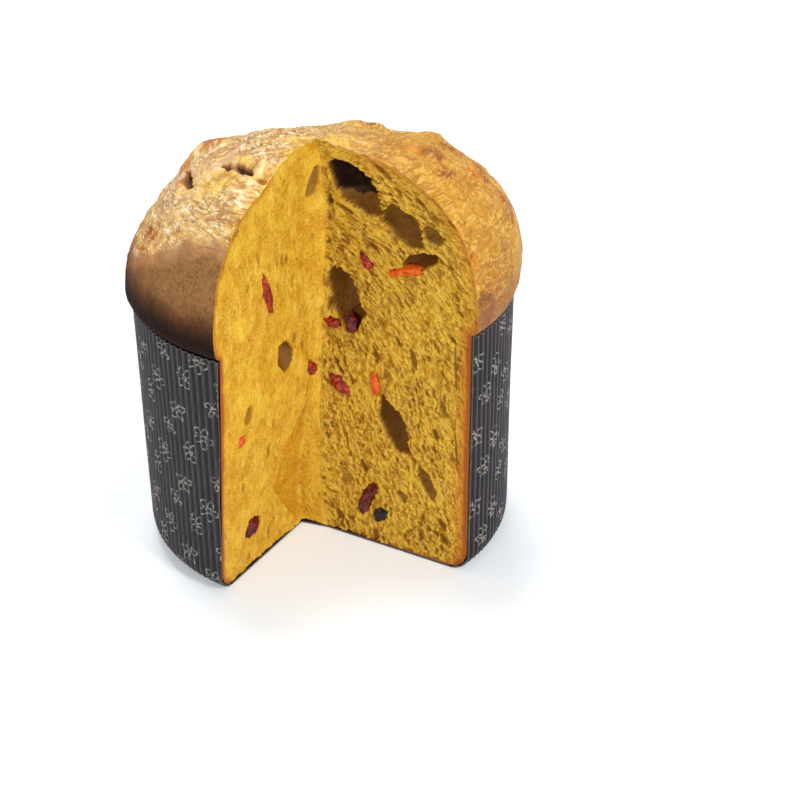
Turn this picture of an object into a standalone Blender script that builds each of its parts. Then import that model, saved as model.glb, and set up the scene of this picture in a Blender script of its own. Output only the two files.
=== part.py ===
"""A tall cut panettone in its fluted paper case, with a quarter wedge missing.

Metres, +Z up. The origin is the middle of the paper base, where it stands on the table. +Y is the back, and
the missing wedge opens towards -Y. Azimuths are measured from the front (-Y) towards +X.
"""

import math

import bpy
import numpy as np

MM = 0.001

# Paper case: a one-kilogram mould, round, a little wider at the rim
CASE_BASE_RADIUS = 83.4
CASE_RIM_RADIUS = 85.0
CASE_HEIGHT = 120.4
CASE_EDGE_RADIUS = 10.0
CASE_WALL = 0.7
FLUTES = 144
FLUTE_DEPTH = 0.45
FIT_GAP = 0.35

# Bread above the rim: a dome whose fullness changes round the loaf
DOME_CENTRE_SHIFT = (-10.9, -2.7)
DOME_TOP = 194.9
DOME_RADIUS = (88.4, -2.0, 0.15)
DOME_FULLNESS = (2.04, 0.69, 0.44, -0.06, 0.21)
BULGE_HEIGHT = (130.5, -10.0, 2.7)
LOWEST_BULGE = 126.0
OVERHANG_START = 121.2

# Swells and dips of the crust: place, reach and height
SWELLS = (
    ((-5.0, -19.0, 196.0), 15.0, 2.0),
    ((-24.0, -47.0, 185.0), 11.0, -3.5),
    ((10.0, 15.0, 191.0), 8.0, 2.6),
    ((28.0, 23.0, 186.0), 10.0, -2.2),
    ((50.0, 24.0, 180.0), 9.0, 3.4),
    ((-50.0, 19.0, 177.0), 10.0, 4.2),
    ((-77.0, 13.0, 155.0), 13.0, -1.8),
    ((-36.0, -14.0, 184.0), 9.0, -1.6),
    ((20.0, 58.0, 165.0), 16.0, 2.2),
    ((-35.0, 50.0, 160.0), 14.0, -2.0),
)

# The cut: two faces that meet at an upright seam, the left one hollowed and leaning in towards the base
SEAM = np.array((-1.0, -14.0))
LEFT_AZIMUTH = -34.3
RIGHT_AZIMUTH = 58.7
CUT_HEIGHTS = (-8.0, 0.0, 25.0, 50.0, 80.0, 120.0, 260.0)
HOLLOW_AT_SEAM = (13.0, 13.0, 11.0, 7.0, 1.6, 0.0, 0.0)
LEAN_AT_CORNER = (7.8, 7.6, 6.0, 4.4, 2.4, 0.0, 0.0)
SEAM_STEP = 3.2
CORNER_REACH = 71.0
CUT_REACH = 190.0

# Pores open on a cut face: distance from the seam, height, half length, half width, tilt, depth
LEFT_PORES = (
    (26.3, 102.4, 7.9, 6.2, 36.0, 6.0),
    (46.4, 120.2, 4.7, 3.5, 83.0, 3.6),
    (52.7, 82.1, 5.5, 3.4, -78.0, 4.5),
)
RIGHT_PORES = (
    (19.1, 176.8, 12.5, 6.6, -12.0, 14.0),
    (42.6, 164.1, 11.2, 7.0, -36.0, 10.0),
    (57.3, 162.5, 5.1, 3.7, -36.0, 5.0),
    (50.1, 148.8, 10.4, 3.1, 24.0, 7.0),
    (12.5, 123.1, 13.4, 7.6, -58.0, 12.0),
    (36.4, 63.2, 13.5, 5.9, -65.0, 9.0),
    (54.4, 40.2, 7.7, 3.5, -65.0, 5.0),
)

# Candied peel, cherries and raisins: side of the cut, distance, height, half length, half width, tilt, half depth
FRUIT = {
    "candied_cherry_1": ("left", 36.5, 136.8, 8.9, 2.3, 71.0, 3.2),
    "candied_cherry_2": ("left", 45.2, 21.3, 6.0, 4.2, -31.0, 4.0),
    "candied_cherry_3": ("right", 24.3, 143.7, 4.6, 2.4, -53.0, 3.0),
    "candied_cherry_4": ("right", 5.6, 109.6, 3.9, 2.6, -7.0, 3.0),
    "candied_cherry_5": ("right", 14.8, 110.8, 4.6, 2.8, -78.0, 3.2),
    "candied_cherry_6": ("left", 5.4, 87.0, 4.2, 2.6, 40.0, 3.0),
    "candied_cherry_7": ("right", 8.6, 79.0, 5.3, 3.0, -35.0, 3.4),
    "candied_cherry_8": ("right", 21.6, 22.0, 11.2, 3.3, 69.0, 3.6),
    "candied_orange_1": ("right", 43.9, 143.4, 8.6, 2.0, 13.0, 3.0),
    "candied_orange_2": ("left", 56.4, 73.4, 3.0, 2.3, -59.0, 2.6),
    "candied_orange_3": ("right", 27.3, 85.0, 5.4, 2.0, -82.0, 2.6),
    "raisin_1": ("right", 28.9, 15.8, 4.2, 3.0, 36.0, 3.2),
}
FRUIT_GAP = 0.3

BREAD_COLUMNS = 84
CASE_COLUMNS = 2 * FLUTES


def wave(azimuth, mean, cos1, sin1, cos2=0.0, sin2=0.0):
    """A value that changes smoothly round the loaf."""
    first = cos1 * np.cos(azimuth) + sin1 * np.sin(azimuth)
    return mean + first + cos2 * np.cos(2 * azimuth) + sin2 * np.sin(2 * azimuth)


def case_radius(height):
    return CASE_BASE_RADIUS + (CASE_RIM_RADIUS - CASE_BASE_RADIUS) * height / CASE_HEIGHT


def ring(azimuth, radius, height, shift=0.0):
    """A ring of points at a radius and height, moved by a share of the dome's own shift."""
    x = radius * np.sin(azimuth) + shift * DOME_CENTRE_SHIFT[0]
    y = -radius * np.cos(azimuth) + shift * DOME_CENTRE_SHIFT[1]
    return np.stack([x, y, np.broadcast_to(height, azimuth.shape)], axis=1)


def bread_rings(azimuth):
    """Rings from the base edge, up the wall inside the paper, out over the rim and over the dome."""
    inset = FLUTE_DEPTH + CASE_WALL + FIT_GAP
    floor = CASE_WALL + FIT_GAP
    edge = CASE_EDGE_RADIUS - 1.5
    rings = []
    centre = case_radius(CASE_EDGE_RADIUS) - inset - edge
    for turn in np.radians((0, 30, 60, 90)):
        radius = np.full(azimuth.shape, centre + edge * math.sin(turn))
        rings.append(ring(azimuth, radius, floor + edge * (1 - math.cos(turn))))
    for height in (50.0, 90.0, CASE_HEIGHT):
        rings.append(ring(azimuth, np.full(azimuth.shape, case_radius(height) - inset), height))
    wall = case_radius(CASE_HEIGHT) - inset
    bulge = np.maximum(wave(azimuth, *BULGE_HEIGHT), LOWEST_BULGE)
    widest = wave(azimuth, *DOME_RADIUS)
    fullness = wave(azimuth, *DOME_FULLNESS)
    for turn in np.radians((0, 30, 60)):
        radius = wall + (widest - wall) * math.sin(turn)
        rings.append(ring(azimuth, radius, OVERHANG_START + (bulge - OVERHANG_START) * (1 - math.cos(turn))))
    for turn in np.radians((0, 9, 18, 27, 37, 48, 60, 72, 82)):
        rise = math.sin(turn) ** (2 / fullness)
        radius = widest * math.cos(turn) ** (2 / fullness)
        rings.append(ring(azimuth, radius, bulge + (DOME_TOP - bulge) * rise, (rise**2)))
    return rings


def swell(points):
    """Moves crust points up and out by the named swells and dips."""
    moved = points.copy()
    outward = points - np.array((0.0, 0.0, 110.0))
    outward /= np.linalg.norm(outward, axis=1)[:, None]
    for place, reach, height in SWELLS:
        away = np.linalg.norm(points - np.array(place), axis=1) / reach
        moved += outward * (height * np.exp(-(away**2)))[:, None]
    return moved


def shell_mesh(name, rings, bottom, top):
    """A closed solid through stacked rings, with a middle point under the first and over the last."""
    count = len(rings[0])
    points = np.concatenate([[bottom], *rings, [top]])
    faces = []
    for level in range(len(rings) - 1):
        low = 1 + level * count
        for column in range(count):
            following = (column + 1) % count
            faces.append((low + column, low + following, low + count + following, low + count + column))
    last = 1 + (len(rings) - 1) * count
    for column in range(count):
        following = (column + 1) % count
        faces.append((0, 1 + following, 1 + column))
        faces.append((len(points) - 1, last + column, last + following))
    return solid(name, points, faces)


def solid(name, points, faces):
    mesh = bpy.data.meshes.new(name)
    mesh.from_pydata((np.asarray(points) * MM).tolist(), [], faces)
    mesh.update()
    obj = bpy.data.objects.new(name, mesh)
    bpy.context.scene.collection.objects.link(obj)
    return obj


def helper(obj):
    obj.hide_render = True
    obj.display_type = "WIRE"
    return obj


def carve(target, cutter):
    """Takes the cutter out of the target."""
    modifier = target.modifiers.new(cutter.name, "BOOLEAN")
    modifier.operation = "DIFFERENCE"
    modifier.solver = "EXACT"
    modifier.object = cutter


def direction(azimuth):
    return np.array((math.sin(math.radians(azimuth)), -math.cos(math.radians(azimuth))))


def inward(side):
    """The horizontal direction from a cut face into the bread."""
    along = direction(LEFT_AZIMUTH if side == "left" else RIGHT_AZIMUTH)
    return np.array((along[1], -along[0])) if side == "left" else np.array((-along[1], along[0]))


def left_depth(distance, height):
    """How far the left cut face stands back from the upright plane through the seam."""
    hollow = np.interp(height, CUT_HEIGHTS, HOLLOW_AT_SEAM)
    lean = np.interp(height, CUT_HEIGHTS, LEAN_AT_CORNER)
    share = (distance - SEAM_STEP) / (CORNER_REACH - SEAM_STEP)
    return hollow + (lean - hollow) * share


def on_face(side, distance, height):
    """A point of a cut face, from its distance to the seam and its height."""
    along = direction(LEFT_AZIMUTH if side == "left" else RIGHT_AZIMUTH)
    depth = left_depth(distance, height) if side == "left" else 0.0
    flat = SEAM + along * distance + inward(side) * depth
    return np.array((flat[0], flat[1], height))


def wedge_cutter():
    """The missing quarter, as a stack of four-cornered sections."""
    points, faces = [], []
    for height in CUT_HEIGHTS:
        far_left = on_face("left", CUT_REACH, height)
        far_right = SEAM + direction(RIGHT_AZIMUTH) * CUT_REACH
        points.append((SEAM[0], SEAM[1], height))
        points.append(tuple(on_face("left", SEAM_STEP, height)))
        points.append(tuple(far_left))
        points.append((far_right[0], far_right[1], height))
    faces.append((3, 2, 1, 0))
    top = 4 * (len(CUT_HEIGHTS) - 1)
    faces.append((top, top + 1, top + 2, top + 3))
    for level in range(len(CUT_HEIGHTS) - 1):
        low = 4 * level
        for corner in range(4):
            following = (corner + 1) % 4
            faces.append((low + corner, low + following, low + 4 + following, low + 4 + corner))
    return helper(solid("missing_wedge", points, faces))


def lozenge(name, side, distance, height, length, width, tilt, depth, sink=0.0, grow=0.0, columns=12, levels=7):
    """A rounded ellipsoid that lies in a cut face, turned in that face by its tilt."""
    along = direction(LEFT_AZIMUTH if side == "left" else RIGHT_AZIMUTH)
    along = np.array((along[0], along[1], 0.0))
    into = np.array((*inward(side), 0.0))
    turn = math.radians(tilt)
    long_way = along * math.cos(turn) + np.array((0, 0, 1.0)) * math.sin(turn)
    short_way = -along * math.sin(turn) + np.array((0, 0, 1.0)) * math.cos(turn)
    if np.dot(np.cross(long_way, short_way), into) < 0:
        short_way = -short_way
    centre = on_face(side, distance, height) + into * sink
    around = np.linspace(0, 2 * math.pi, columns, endpoint=False)
    rings = []
    for level in range(1, levels):
        polar = math.pi * level / levels
        reach = math.sin(polar)
        offset = -math.cos(polar) * (depth + grow)
        rings.append(
            centre
            + np.outer(np.cos(around), long_way) * reach * (length + grow)
            + np.outer(np.sin(around), short_way) * reach * (width + grow)
            + into * offset
        )
    bottom = centre - into * (depth + grow)
    top = centre + into * (depth + grow)
    return shell_mesh(name, rings, bottom, top)


def build_bread(wedge):
    azimuth = np.linspace(0, 2 * math.pi, BREAD_COLUMNS, endpoint=False)
    rings = bread_rings(azimuth)
    dome_start = 7
    rings = rings[:dome_start] + [swell(points) for points in rings[dome_start:]]
    crown = swell(np.array([(*DOME_CENTRE_SHIFT, DOME_TOP)]))[0]
    bread = shell_mesh("bread", rings, (0.0, 0.0, CASE_WALL + FIT_GAP), crown)
    carve(bread, wedge)
    for side, pores in (("left", LEFT_PORES), ("right", RIGHT_PORES)):
        for number, pore in enumerate(pores, 1):
            carve(bread, helper(lozenge(f"pore_{side}_{number}", side, *pore)))
    return bread


def build_case(wedge):
    """A fluted paper cup: the flutes fade out where the wall turns under to the flat base."""
    azimuth = np.linspace(0, 2 * math.pi, CASE_COLUMNS, endpoint=False)
    flute = FLUTE_DEPTH * np.cos(FLUTES * azimuth)
    edge_centre = case_radius(CASE_EDGE_RADIUS) - CASE_EDGE_RADIUS
    outside, inside = [], []
    for turn in np.radians((0, 35, 65, 90)):
        fade = math.sin(turn) ** 2
        for rings, radius in ((outside, CASE_EDGE_RADIUS), (inside, CASE_EDGE_RADIUS - CASE_WALL)):
            reach = edge_centre + radius * math.sin(turn) + fade * flute
            rings.append(ring(azimuth, reach, CASE_EDGE_RADIUS - radius * math.cos(turn)))
    outside.append(ring(azimuth, CASE_RIM_RADIUS + flute, CASE_HEIGHT))
    inside.append(ring(azimuth, CASE_RIM_RADIUS - CASE_WALL + flute, CASE_HEIGHT))
    case = shell_mesh("paper_case", outside + inside[::-1], (0.0, 0.0, 0.0), (0.0, 0.0, CASE_WALL))
    carve(case, wedge)
    return case


def build_fruit(bread, wedge):
    """Each piece of fruit is cut off level with the crumb and sits in its own pocket."""
    for name, (side, distance, height, length, width, tilt, depth) in FRUIT.items():
        size = (side, distance, height, length, width, tilt, depth)
        pocket = helper(lozenge(f"pocket_{name}", *size, sink=0.25 * depth, grow=FRUIT_GAP))
        carve(bread, pocket)
        piece = lozenge(name, *size, sink=0.25 * depth)
        carve(piece, wedge)


for leftover in list(bpy.data.objects):
    bpy.data.objects.remove(leftover, do_unlink=True)
bpy.context.scene.unit_settings.system = "METRIC"
knife = wedge_cutter()
loaf = build_bread(knife)
build_case(knife)
build_fruit(loaf, knife)
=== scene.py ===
"""The dressed panettone: crust, crumb with its pores and candied fruit, and the printed paper case.

Every new piece is a surface worked out with numpy, in millimetres, on the same named sizes as the solids.
The loaf is cut by two faces that meet at an upright seam, so most places are given as a distance from that
seam along a cut face and a height.
"""

import math

import bpy
import numpy as np
from mathutils import Matrix, Vector


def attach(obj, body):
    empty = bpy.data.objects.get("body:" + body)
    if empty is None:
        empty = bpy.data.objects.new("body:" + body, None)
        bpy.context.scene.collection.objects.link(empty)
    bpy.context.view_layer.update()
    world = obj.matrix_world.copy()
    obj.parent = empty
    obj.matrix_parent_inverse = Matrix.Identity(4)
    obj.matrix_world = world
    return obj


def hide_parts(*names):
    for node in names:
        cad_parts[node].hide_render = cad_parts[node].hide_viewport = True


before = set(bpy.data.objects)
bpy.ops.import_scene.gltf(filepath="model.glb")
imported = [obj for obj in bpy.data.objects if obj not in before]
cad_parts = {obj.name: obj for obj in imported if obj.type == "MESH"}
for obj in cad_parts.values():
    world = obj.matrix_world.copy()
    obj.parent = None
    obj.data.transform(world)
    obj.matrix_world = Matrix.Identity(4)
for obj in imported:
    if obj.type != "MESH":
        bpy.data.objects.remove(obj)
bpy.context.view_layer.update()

MM = 0.001

# Paper case
CASE_BASE_RADIUS = 83.4
CASE_RIM_RADIUS = 85.0
CASE_HEIGHT = 120.4
CASE_EDGE_RADIUS = 10.0
CASE_WALL = 0.7
FLUTES = 144
FLUTE_DEPTH = 0.45
FIT_GAP = 0.35
# The share of the way round that the paper still covers, which sets the number of its columns
CASE_SHARE = 0.745
# Where the paper of the base is gathered, out of sight
BASE_HUB = (-12.0, 22.0)

# The loaf in its case stands back from the paper's outside
LOAF_INSET = FLUTE_DEPTH + CASE_WALL + FIT_GAP
LOAF_FLOOR = CASE_WALL + FIT_GAP
LOAF_EDGE_RADIUS = CASE_EDGE_RADIUS - 1.5

# Dome above the rim
DOME_CENTRE_SHIFT = np.array((-10.9, -2.7))
DOME_TOP = 194.9
DOME_RADIUS = (88.4, -2.0, 0.15)
DOME_FULLNESS = (2.04, 0.69, 0.44, -0.06, 0.21)
BULGE_HEIGHT = (130.5, -10.0, 2.7)
LOWEST_BULGE = 126.0
OVERHANG_START = 121.2
# Heights between which the swells and the skin's own relief fade in above the rim
SWELL_START = (121.0, 128.0)
RELIEF_START = (121.5, 127.0)
# Middles that the swells and the skin's normals point away from
SWELL_CENTRE = (0.0, 0.0, 110.0)
LOAF_CENTRE = (0.0, 0.0, 90.0)
# Swells and dips of the dome: place, size and height
SWELLS = (
    ((-5.0, -19.0, 196.0), 15.0, 2.0),
    ((-24.0, -47.0, 185.0), 11.0, -3.5),
    ((10.0, 15.0, 191.0), 8.0, 2.6),
    ((28.0, 23.0, 186.0), 10.0, -2.2),
    ((50.0, 24.0, 180.0), 9.0, 3.4),
    ((-50.0, 19.0, 177.0), 10.0, 4.2),
    ((-77.0, 13.0, 155.0), 13.0, -1.8),
    ((-36.0, -14.0, 184.0), 9.0, -1.6),
    ((20.0, 58.0, 165.0), 16.0, 2.2),
    ((-35.0, 50.0, 160.0), 14.0, -2.0),
)

# The cut: the seam, the azimuths of its faces, and how far the left face stands back at its two ends
SEAM = np.array((-1.0, -14.0))
LEFT_AZIMUTH = -34.3
RIGHT_AZIMUTH = 58.7
CUT_HEIGHTS = (-8.0, 0.0, 25.0, 50.0, 80.0, 120.0, 260.0)
HOLLOW_AT_SEAM = (13.0, 13.0, 11.0, 7.0, 1.6, 0.0, 0.0)
LEAN_AT_CORNER = (7.8, 7.6, 6.0, 4.4, 2.4, 0.0, 0.0)
SEAM_STEP = 3.2
CORNER_REACH = 71.0
HUB_HEIGHT = 72.0
# Where the outline of a cut face turns from its side to its top
SHOULDER_HEIGHT = 168.0
SHOULDER_REACH = 66.0
# How far behind the cut the hidden backs of the crust and the crumb stand, and where they are gathered
CRUST_BACKING = 19.0
CRUMB_BACKING = 18.0
CRUST_CORE = (-6.0, 28.0, 90.0)
CRUMB_CORE = (36.0, 90.0, 30.0)
# How far the seam's line strays to the left at each height
SEAM_HEIGHTS = (0.0, 20.0, 60.0, 100.0, 150.0, 176.0, 186.0, 200.0)
SEAM_ASIDE = (0.6, 2.3, 2.3, 0.0, -3.2, -3.2, -1.5, 0.0)

# Pores deeper than this have steep, smooth walls
STEEP_DEPTH = 6.0
# Pores on the cut faces: distance from the seam, height, half length, half width, tilt, depth, brownness;
# the brownness is partly the hollow's own brown skin and partly painted shade
LEFT_PORES = (
    (25.0, 102.2, 7.6, 6.0, 66.0, 6.5, 0.55),
    (46.4, 120.2, 5.2, 3.4, 83.0, 2.6, 0.1),
    (51.0, 83.6, 4.4, 3.1, -82.0, 4.4, 0.35),
    (4.0, 178.0, 7.4, 2.6, -68.0, 3.4, 0.42),
    (65.8, 124.6, 6.5, 1.3, 86.0, 1.5, 0.1),
    (14.6, 111.5, 8.0, 1.8, -82.0, 1.6, 0.05),
    (49.5, 134.9, 6.5, 1.3, 84.0, 1.5, 0.1),
    (18.2, 127.5, 9.0, 1.6, -80.0, 1.8, 0.1),
    (36.0, 121.0, 6.0, 1.8, 80.0, 1.1, 0.0),
    (38.1, 107.7, 4.0, 2.6, 80.0, 1.2, 0.0),
    (60.0, 113.0, 2.2, 1.2, 80.0, 1.4, 0.1),
    (58.7, 137.9, 0.9, 0.8, 80.0, 1.6, 0.5),
    (59.6, 44.6, 5.6, 1.2, 80.0, 1.3, 0.1),
    (10.0, 140.0, 10.0, 3.0, 84.0, 1.0, 0.0),
)
RIGHT_PORES = (
    (17.0, 179.5, 14.4, 8.0, -18.0, 17.0, 1.0),
    (22.0, 170.5, 11.5, 4.6, -14.0, 9.0, 0.5),
    (42.2, 163.9, 11.8, 7.4, -36.0, 12.0, 0.5),
    (57.3, 162.5, 5.1, 3.7, -36.0, 6.0, 0.45),
    (50.6, 149.2, 9.6, 3.8, 24.0, 9.0, 0.6),
    (11.6, 122.8, 15.0, 9.0, -60.0, 14.0, 0.56),
    (36.6, 64.6, 14.6, 6.8, -66.0, 13.0, 0.6),
    (53.8, 40.0, 9.2, 3.6, -65.0, 5.5, 0.45),
    (57.3, 171.2, 4.0, 2.2, -41.0, 3.0, 0.3),
    (23.6, 153.9, 5.2, 1.9, -80.0, 3.0, 0.3),
    (47.3, 101.8, 5.6, 1.8, -76.0, 3.2, 0.4),
    (62.3, 81.0, 4.6, 1.6, -76.0, 3.0, 0.35),
    (40.7, 29.2, 3.8, 2.2, -63.0, 3.2, 0.35),
    (10.8, 31.0, 5.4, 3.0, -75.0, 2.4, 0.3),
    (5.4, 165.0, 7.0, 1.6, -84.0, 3.6, 0.4),
    (31.0, 116.0, 3.6, 2.4, -62.0, 2.0, 0.2),
    (21.0, 92.5, 3.4, 2.0, -70.0, 2.2, 0.2),
    (33.0, 187.5, 6.0, 1.4, -28.0, 2.2, 0.4),
    (52.0, 176.0, 5.5, 1.3, -42.0, 2.4, 0.4),
    (66.0, 150.0, 6.0, 1.2, -70.0, 2.0, 0.3),
    (30.0, 82.0, 7.0, 2.6, -78.0, 1.6, 0.15),
    (58.0, 96.0, 9.0, 2.2, -82.0, 1.4, 0.15),
    (68.5, 104.0, 12.0, 0.8, -88.0, 1.6, 0.4),
    (69.0, 62.0, 12.0, 0.8, -87.0, 1.6, 0.4),
)

# The torn hollow low on the left face: its edge as distance from the seam at each height
TEAR_HEIGHTS = (0.0, 5.0, 32.3, 51.3, 66.9, 78.0, 90.0)
TEAR_REACH = (8.0, 8.0, 28.0, 22.2, 9.8, 3.0, -8.0)

# Small pores of the crumb, coarse to fine: width, length, seed, share of the cells that open, depth
RIGHT_CELLS = (
    (3.6, 6.4, 201, 0.05, 1.9),
    (2.2, 3.8, 203, 0.20, 1.5),
    (1.5, 2.4, 207, 0.55, 1.15),
    (0.9, 1.5, 211, 0.8, 0.7),
)
LEFT_CELLS = (
    (3.0, 7.5, 201, 0.05, 0.7),
    (1.8, 4.0, 203, 0.12, 0.6),
    (1.1, 2.0, 207, 0.45, 0.45),
    (0.8, 1.1, 211, 0.8, 0.32),
)
# The web between them: its size across and along the grain, and its height
RIGHT_WEB = (1.5, 3.0, 0.85)
LEFT_WEB = (1.6, 2.2, 0.34)

# The crust's marks, each a place and its half sizes: bare crumb, patches of brown and of orange skin
BARE_SKIN = (
    ((-38.0, -31.0, 184.0), (21.0, 11.0, 8.0)),
    ((-52.0, -22.0, 177.0), (9.0, 10.0, 5.0)),
    ((-5.0, -19.0, 195.0), (9.0, 11.0, 8.0)),
    ((11.0, -15.0, 194.0), (12.0, 7.0, 6.0)),
    ((-16.0, -42.0, 190.0), (6.0, 8.0, 6.0)),
    ((30.0, 52.0, 165.0), (22.0, 12.0, 12.0)),
)
BROWN_SKIN = (
    ((-73.8, -21.0, 156.6), (7.0, 8.0, 6.0)),
    ((-47.0, 15.0, 183.0), (9.0, 9.0, 4.0)),
    ((-60.0, 14.0, 175.0), (7.0, 14.0, 6.0)),
    ((23.0, 15.0, 191.0), (8.0, 5.0, 3.0)),
    ((58.0, 8.0, 180.0), (10.0, 8.0, 5.0)),
    ((70.0, 2.0, 173.0), (6.0, 12.0, 7.0)),
    ((80.0, -8.0, 160.0), (6.0, 12.0, 14.0)),
    ((50.0, -8.0, 185.5), (8.0, 8.0, 4.0)),
    ((52.0, -28.0, 184.5), (6.0, 5.0, 3.0)),
    ((68.0, -54.0, 133.0), (16.0, 14.0, 9.0)),
    ((45.0, -8.0, 188.0), (7.0, 7.0, 4.0)),
    ((54.0, -27.0, 183.0), (5.0, 8.0, 5.0)),
    ((10.0, 60.0, 172.0), (16.0, 12.0, 8.0)),
    ((-50.0, 48.0, 158.0), (16.0, 14.0, 8.0)),
)
ORANGE_SKIN = (
    ((-61.0, -13.0, 173.0), (6.0, 8.0, 5.0)),
    ((39.0, -11.5, 189.8), (7.0, 5.0, 3.0)),
    ((67.5, -9.0, 176.5), (5.0, 7.0, 4.0)),
    ((62.5, -53.0, 155.0), (6.0, 5.0, 6.0)),
    ((-10.0, -27.0, 195.5), (7.0, 5.0, 4.0)),
    ((60.0, 40.0, 160.0), (14.0, 12.0, 10.0)),
)
# No crack reaches farther than this from its middle
CRACK_REACH = 26.0
# Cracks and pits of the crust, each a strip from one place to another, its half width and its depth
CRACKS = (
    ((-58.5, 0.0, 176.5), (-54.3, -21.5, 177.3), 3.0, 3.8),
    ((-41.5, -18.5, 186.3), (-26.5, -36.0, 189.5), 2.0, 3.0),
    ((-24.5, -38.5, 188.2), (-22.0, -41.5, 188.2), 1.6, 1.8),
    ((-55.9, -34.4, 173.7), (-54.8, -35.6, 173.7), 1.2, 1.2),
    ((-74.5, -18.5, 158.5), (-73.0, -24.0, 154.5), 2.2, 1.5),
    ((51.2, -7.2, 185.7), (53.7, -24.0, 184.0), 1.1, 1.0),
    ((53.5, -23.5, 184.0), (54.2, -25.5, 183.7), 1.4, 1.7),
    ((66.0, -5.9, 177.7), (68.9, -12.0, 175.5), 1.4, 1.2),
    ((71.2, -20.4, 172.1), (71.4, -20.9, 171.7), 1.0, 1.0),
    ((63.2, -51.8, 158.6), (64.0, -52.0, 156.6), 1.8, 2.0),
    ((22.0, -28.3, 192.4), (25.0, -28.6, 191.8), 1.2, 0.9),
    ((-66.0, -36.0, 161.0), (-58.0, -42.0, 163.5), 0.9, 0.8),
    ((-20.0, 58.0, 168.0), (-14.0, 60.0, 167.0), 2.2, 2.2),
    ((45.0, 50.0, 158.0), (52.0, 42.0, 158.0), 2.0, 2.0),
    ((-64.0, 34.0, 160.0), (-58.0, 44.0, 156.0), 1.8, 1.8),
)
# Raised lips and welts, each a strip from one place to another, its half width and its height
LIPS = (
    ((-37.0, -16.0, 188.6), (-25.5, -31.0, 190.8), 2.6, 1.3),
    ((-61.5, -11.0, 173.5), (-60.0, -17.0, 172.5), 4.2, 1.8),
    ((-47.0, 13.0, 183.4), (-38.0, 17.0, 186.0), 3.0, 1.5),
    ((-62.0, 12.0, 172.0), (-56.0, 13.0, 177.5), 2.6, 1.1),
    ((19.0, 13.6, 191.4), (26.0, 12.6, 190.0), 4.0, 2.3),
    ((-79.1, -26.9, 146.0), (-65.6, -44.3, 157.5), 3.2, 1.0),
    ((-65.6, -44.3, 157.5), (-40.8, -60.6, 170.5), 3.0, 1.2),
    ((49.8, -32.3, 184.3), (55.0, -30.1, 182.2), 1.5, 0.8),
    ((55.0, -30.1, 182.2), (60.2, -34.4, 177.2), 1.5, 0.8),
    ((35.1, -15.7, 190.8), (43.2, -7.1, 188.5), 2.4, 0.7),
    ((20.0, -27.5, 193.0), (40.0, -38.5, 186.5), 2.6, 0.8),
)
# The dip behind the seam: place, size and height
SEAM_DIP = ((8.0, 14.0, 192.0), 8.0, -1.6)
# Leathery folds, coarse to fine: size, seed and octaves of their noise
FOLDS = ((10.0, 83, 3), (5.0, 89, 2), (2.4, 97, 2))
# Height of the middle that the arc over the dome is measured round
ARC_CENTRE_HEIGHT = 105.0
# The brown, smooth lower part of the crust: its upper edge at each azimuth
BROWN_AZIMUTHS = (-180.0, -130.0, -90.0, -71.0, -56.0, -46.0, -34.0, 58.0, 80.0, 120.0, 180.0)
BROWN_HEIGHTS = (140.0, 140.0, 140.0, 145.0, 156.0, 163.5, 169.0, 131.0, 132.0, 136.0, 140.0)

# Fruit: side of the cut, distance, height, half length, half width, tilt, half depth
FRUIT = {
    "candied_cherry_1": ("left", 36.8, 138.0, 10.0, 2.6, 74.0, 3.2),
    "candied_cherry_2": ("left", 45.2, 21.3, 6.0, 4.2, -31.0, 4.0),
    "candied_cherry_3": ("right", 24.3, 143.7, 4.6, 2.4, -53.0, 3.0),
    "candied_cherry_4": ("right", 5.6, 109.6, 3.9, 2.6, -7.0, 3.0),
    "candied_cherry_5": ("right", 14.8, 110.8, 4.6, 2.8, -78.0, 3.2),
    "candied_cherry_6": ("left", 5.4, 87.0, 4.2, 2.6, 40.0, 3.0),
    "candied_cherry_7": ("right", 8.8, 79.0, 6.4, 3.4, -38.0, 3.4),
    "candied_cherry_8": ("right", 21.6, 22.0, 11.2, 3.3, 69.0, 3.6),
    "candied_orange_1": ("right", 43.9, 143.4, 8.6, 2.0, 13.0, 3.0),
    "candied_orange_2": ("left", 56.4, 73.4, 3.0, 2.3, -59.0, 2.6),
    "candied_orange_3": ("right", 27.3, 85.0, 5.4, 2.0, -82.0, 2.6),
    "raisin_1": ("right", 28.9, 15.8, 4.2, 3.0, 36.0, 3.2),
}
FRUIT_BED_DEPTH = 1.9
# Flesh of the fruit: deep and bright shade, the pale shade of its painted highlights, and roughness
FLESH = {
    "candied cherry": ((112, 18, 8), (176, 46, 18), (222, 130, 62), 0.38),
    "dark candied cherry": ((58, 8, 8), (116, 24, 16), (172, 76, 46), 0.32),
    "candied orange peel": ((204, 74, 10), (236, 108, 26), (248, 170, 84), 0.34),
    "raisin": ((16, 12, 14), (40, 28, 26), (70, 58, 56), 0.42),
}
DARK_CHERRIES = ("candied_cherry_2", "candied_cherry_5", "candied_cherry_8")

# The repeat of the case's print, and the radius of the sheet that it is laid on
PRINT_WIDTH = 29.3
PRINT_HEIGHT = 37.0
PRINT_RADIUS = 84.0
# Outline flowers of the print: place in the repeat, size, petals and turn
PRINT_FLOWERS = (
    (4.6, 6.5, 5.6, 5, 0.2),
    (11.8, 22.5, 4.4, 4, 0.5),
    (18.6, 33.5, 5.6, 5, 0.9),
    (25.6, 14.5, 5.0, 6, 0.1),
)

# Columns and rows of the meshes
CRUST_COLUMNS = 556
# Columns are closer where the photograph shows the crust: shares of the way round, then of the columns
CRUST_SPACING = ((0.0, 0.23, 0.66, 1.0), (0.0, 0.30, 0.56, 1.0))
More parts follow.
